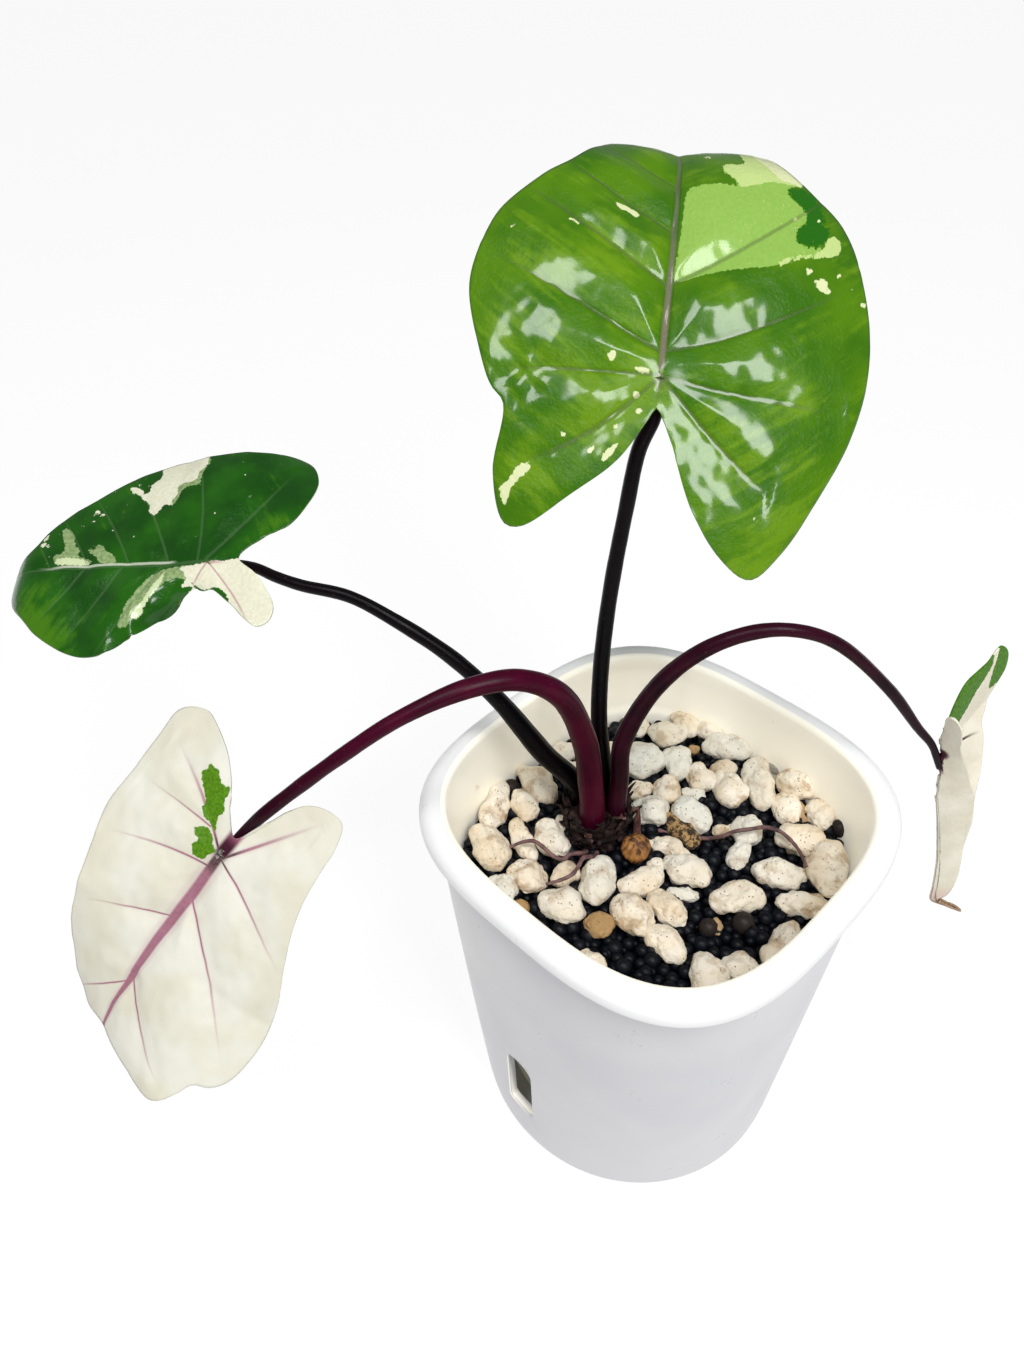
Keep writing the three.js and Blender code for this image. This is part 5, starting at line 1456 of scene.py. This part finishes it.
def white_leaf():
    material, inputs, shade, flat, u, v, under = leaf_parts("white_leaf", Specular_IOR_Level=0.15)
    broad = shade.noise(flat, 0.05, 3)
    fine = shade.noise(flat, 1.1, 4, 0.6)
    ivory = broad.step(0.35, 0.65).mix((0.63, 0.605, 0.49), (0.70, 0.685, 0.60))
    blush = vein_mask(shade, "white", u, v, 1.7, 0.25)
    veins = vein_mask(shade, "white", u, v, 0.8, 0.2)
    colour = (blush * 0.3).mix(ivory, (0.46, 0.30, 0.34))
    fuzzy = veins * (0.75 + fine * 0.3)
    notch = (1 - v.math("ABSOLUTE").step(1.2, 2.6)) * (1 - u.step(-1, 3))
    fuzzy = fuzzy.math("MAXIMUM", notch)
    joint = 1 - (u * u + v * v).step(6, 50)
    colour = (fuzzy * (0.92 + joint * 0.08)).mix(
        colour, joint.mix((0.27, 0.060, 0.130), (0.045, 0.005, 0.016)))
    leafy = fine.step(0.3, 0.7).mix((0.05, 0.16, 0.004), (0.11, 0.25, 0.010))
    colour = marked(shade, flat, "deep").mix(colour, leafy)
    shade.plug(inputs["Base Color"], (under * 0.5).mix(colour, (0.52, 0.50, 0.42)))
    shade.plug(inputs["Roughness"], 0.36 + fine * 0.15)
    wrinkles(shade, flat, inputs, veins, 0.12)
    return material


def rolled_leaf():
    material, inputs, shade, flat, u, v, _ = leaf_parts("rolled_leaf", Specular_IOR_Level=0.15)
    broad = shade.noise(flat, 0.07, 3)
    fine = shade.noise(flat, 1.1, 4, 0.6)
    ivory = broad.step(0.35, 0.65).mix((0.70, 0.655, 0.52), (0.80, 0.76, 0.64))
    veins = vein_mask(shade, "rolled", u, v, 0.9)
    wine = 1 - (u - 1).math("ABSOLUTE").step(4, 13)
    near = (1 - (u * u + v * v).step(2, 8)).math("MAXIMUM", veins * (0.3 + wine * 0.7))
    colour = near.mix(ivory, wine.mix((0.42, 0.20, 0.21), (0.045, 0.004, 0.012)))
    leafy = fine.step(0.3, 0.7).mix((0.030, 0.125, 0.002), (0.085, 0.230, 0.006))
    colour = marked(shade, flat, "deep").mix(colour, leafy)
    colour = (u.step(62, 68) * 0.5).mix(colour, (0.62, 0.40, 0.36))
    brown = fine.step(0.3, 0.7).mix((0.26, 0.15, 0.08), (0.46, 0.32, 0.20))
    colour = (u.step(70, 74) * 0.95).mix(colour, brown)
    shade.plug(inputs["Base Color"], colour)
    shade.plug(inputs["Roughness"], 0.42 + fine * 0.2)
    wrinkles(shade, flat, inputs, veins, 0.25)
    return material


BLADE_THICKNESS = 0.6
SECTORS, RINGS = 260, 64
BLADES = {"green": (green_leaf(), "green_leaf"), "dark": (dark_leaf(), "dark_leaf"),
          "white": (white_leaf(), "white_leaf"), "rolled": (rolled_leaf(), "white_leaf")}
for name, (look, slot) in BLADES.items():
    blade_mesh = leaf_blade(name, SECTORS, RINGS, BLADE_THICKNESS)
    piece(f"leaf_{name}_blade", blade_mesh, look, slot, f"leaf_{name}")

# The studio: a plain pale floor and sky, soft lights, and a camera where the photograph's was.
sky = bpy.data.worlds.new("studio")
sky.use_nodes = True
glow = sky.node_tree.nodes["Background"].inputs
glow["Color"].default_value = (0.95, 0.97, 1.0, 1)
glow["Strength"].default_value = 0.22
bpy.context.scene.world = sky
bpy.context.scene.view_settings.view_transform = "Standard"


def floor():
    bm = bmesh.new()
    bmesh.ops.create_grid(bm, x_segments=1, y_segments=1, size=4)
    obj = mesh_object("floor", bm)
    material, _, _ = finish("pale_floor", Roughness=0.9, Base_Color=(0.12, 0.12, 0.12, 1),
                            Emission_Color=(1, 1, 1, 1), Emission_Strength=0.9)
    obj.data.materials.append(material)


LIT_SPOT = Vector((0, 0, 0.15))


def soft_light(name, spot, size, power):
    """A lamp box of a width and height in metres, turned towards the plant."""
    lamp = bpy.data.lights.new(name, "AREA")
    lamp.shape = "RECTANGLE"
    lamp.size, lamp.size_y = size
    lamp.energy = power
    obj = bpy.data.objects.new(name, lamp)
    obj.location = spot
    obj.rotation_euler = (LIT_SPOT - obj.location).to_track_quat("-Z", "Y").to_euler()
    bpy.context.scene.collection.objects.link(obj)


floor()
soft_light("right_box", (0.52, -0.19, 0.94), (0.24, 0.6), 7.5)
soft_light("left_box", (0.0, -0.39, 1.07), (0.25, 0.36), 4)

# The camera looks down at the pot's right front. Its focal length is 1000 of the photograph's
# 1365 rows.
PHOTO_ROWS = 1365
FOCAL_ROWS = 1000
eye = bpy.data.cameras.new("photo_view")
eye.sensor_width = 36
eye.lens = eye.sensor_width * FOCAL_ROWS / PHOTO_ROWS
view = bpy.data.objects.new("photo_view", eye)
view.location = (0.10583, -0.15985, 0.3519)
view.rotation_euler = [math.radians(turn) for turn in (48.015, 0.863, 44.935)]
bpy.context.scene.collection.objects.link(view)
bpy.context.scene.camera = view
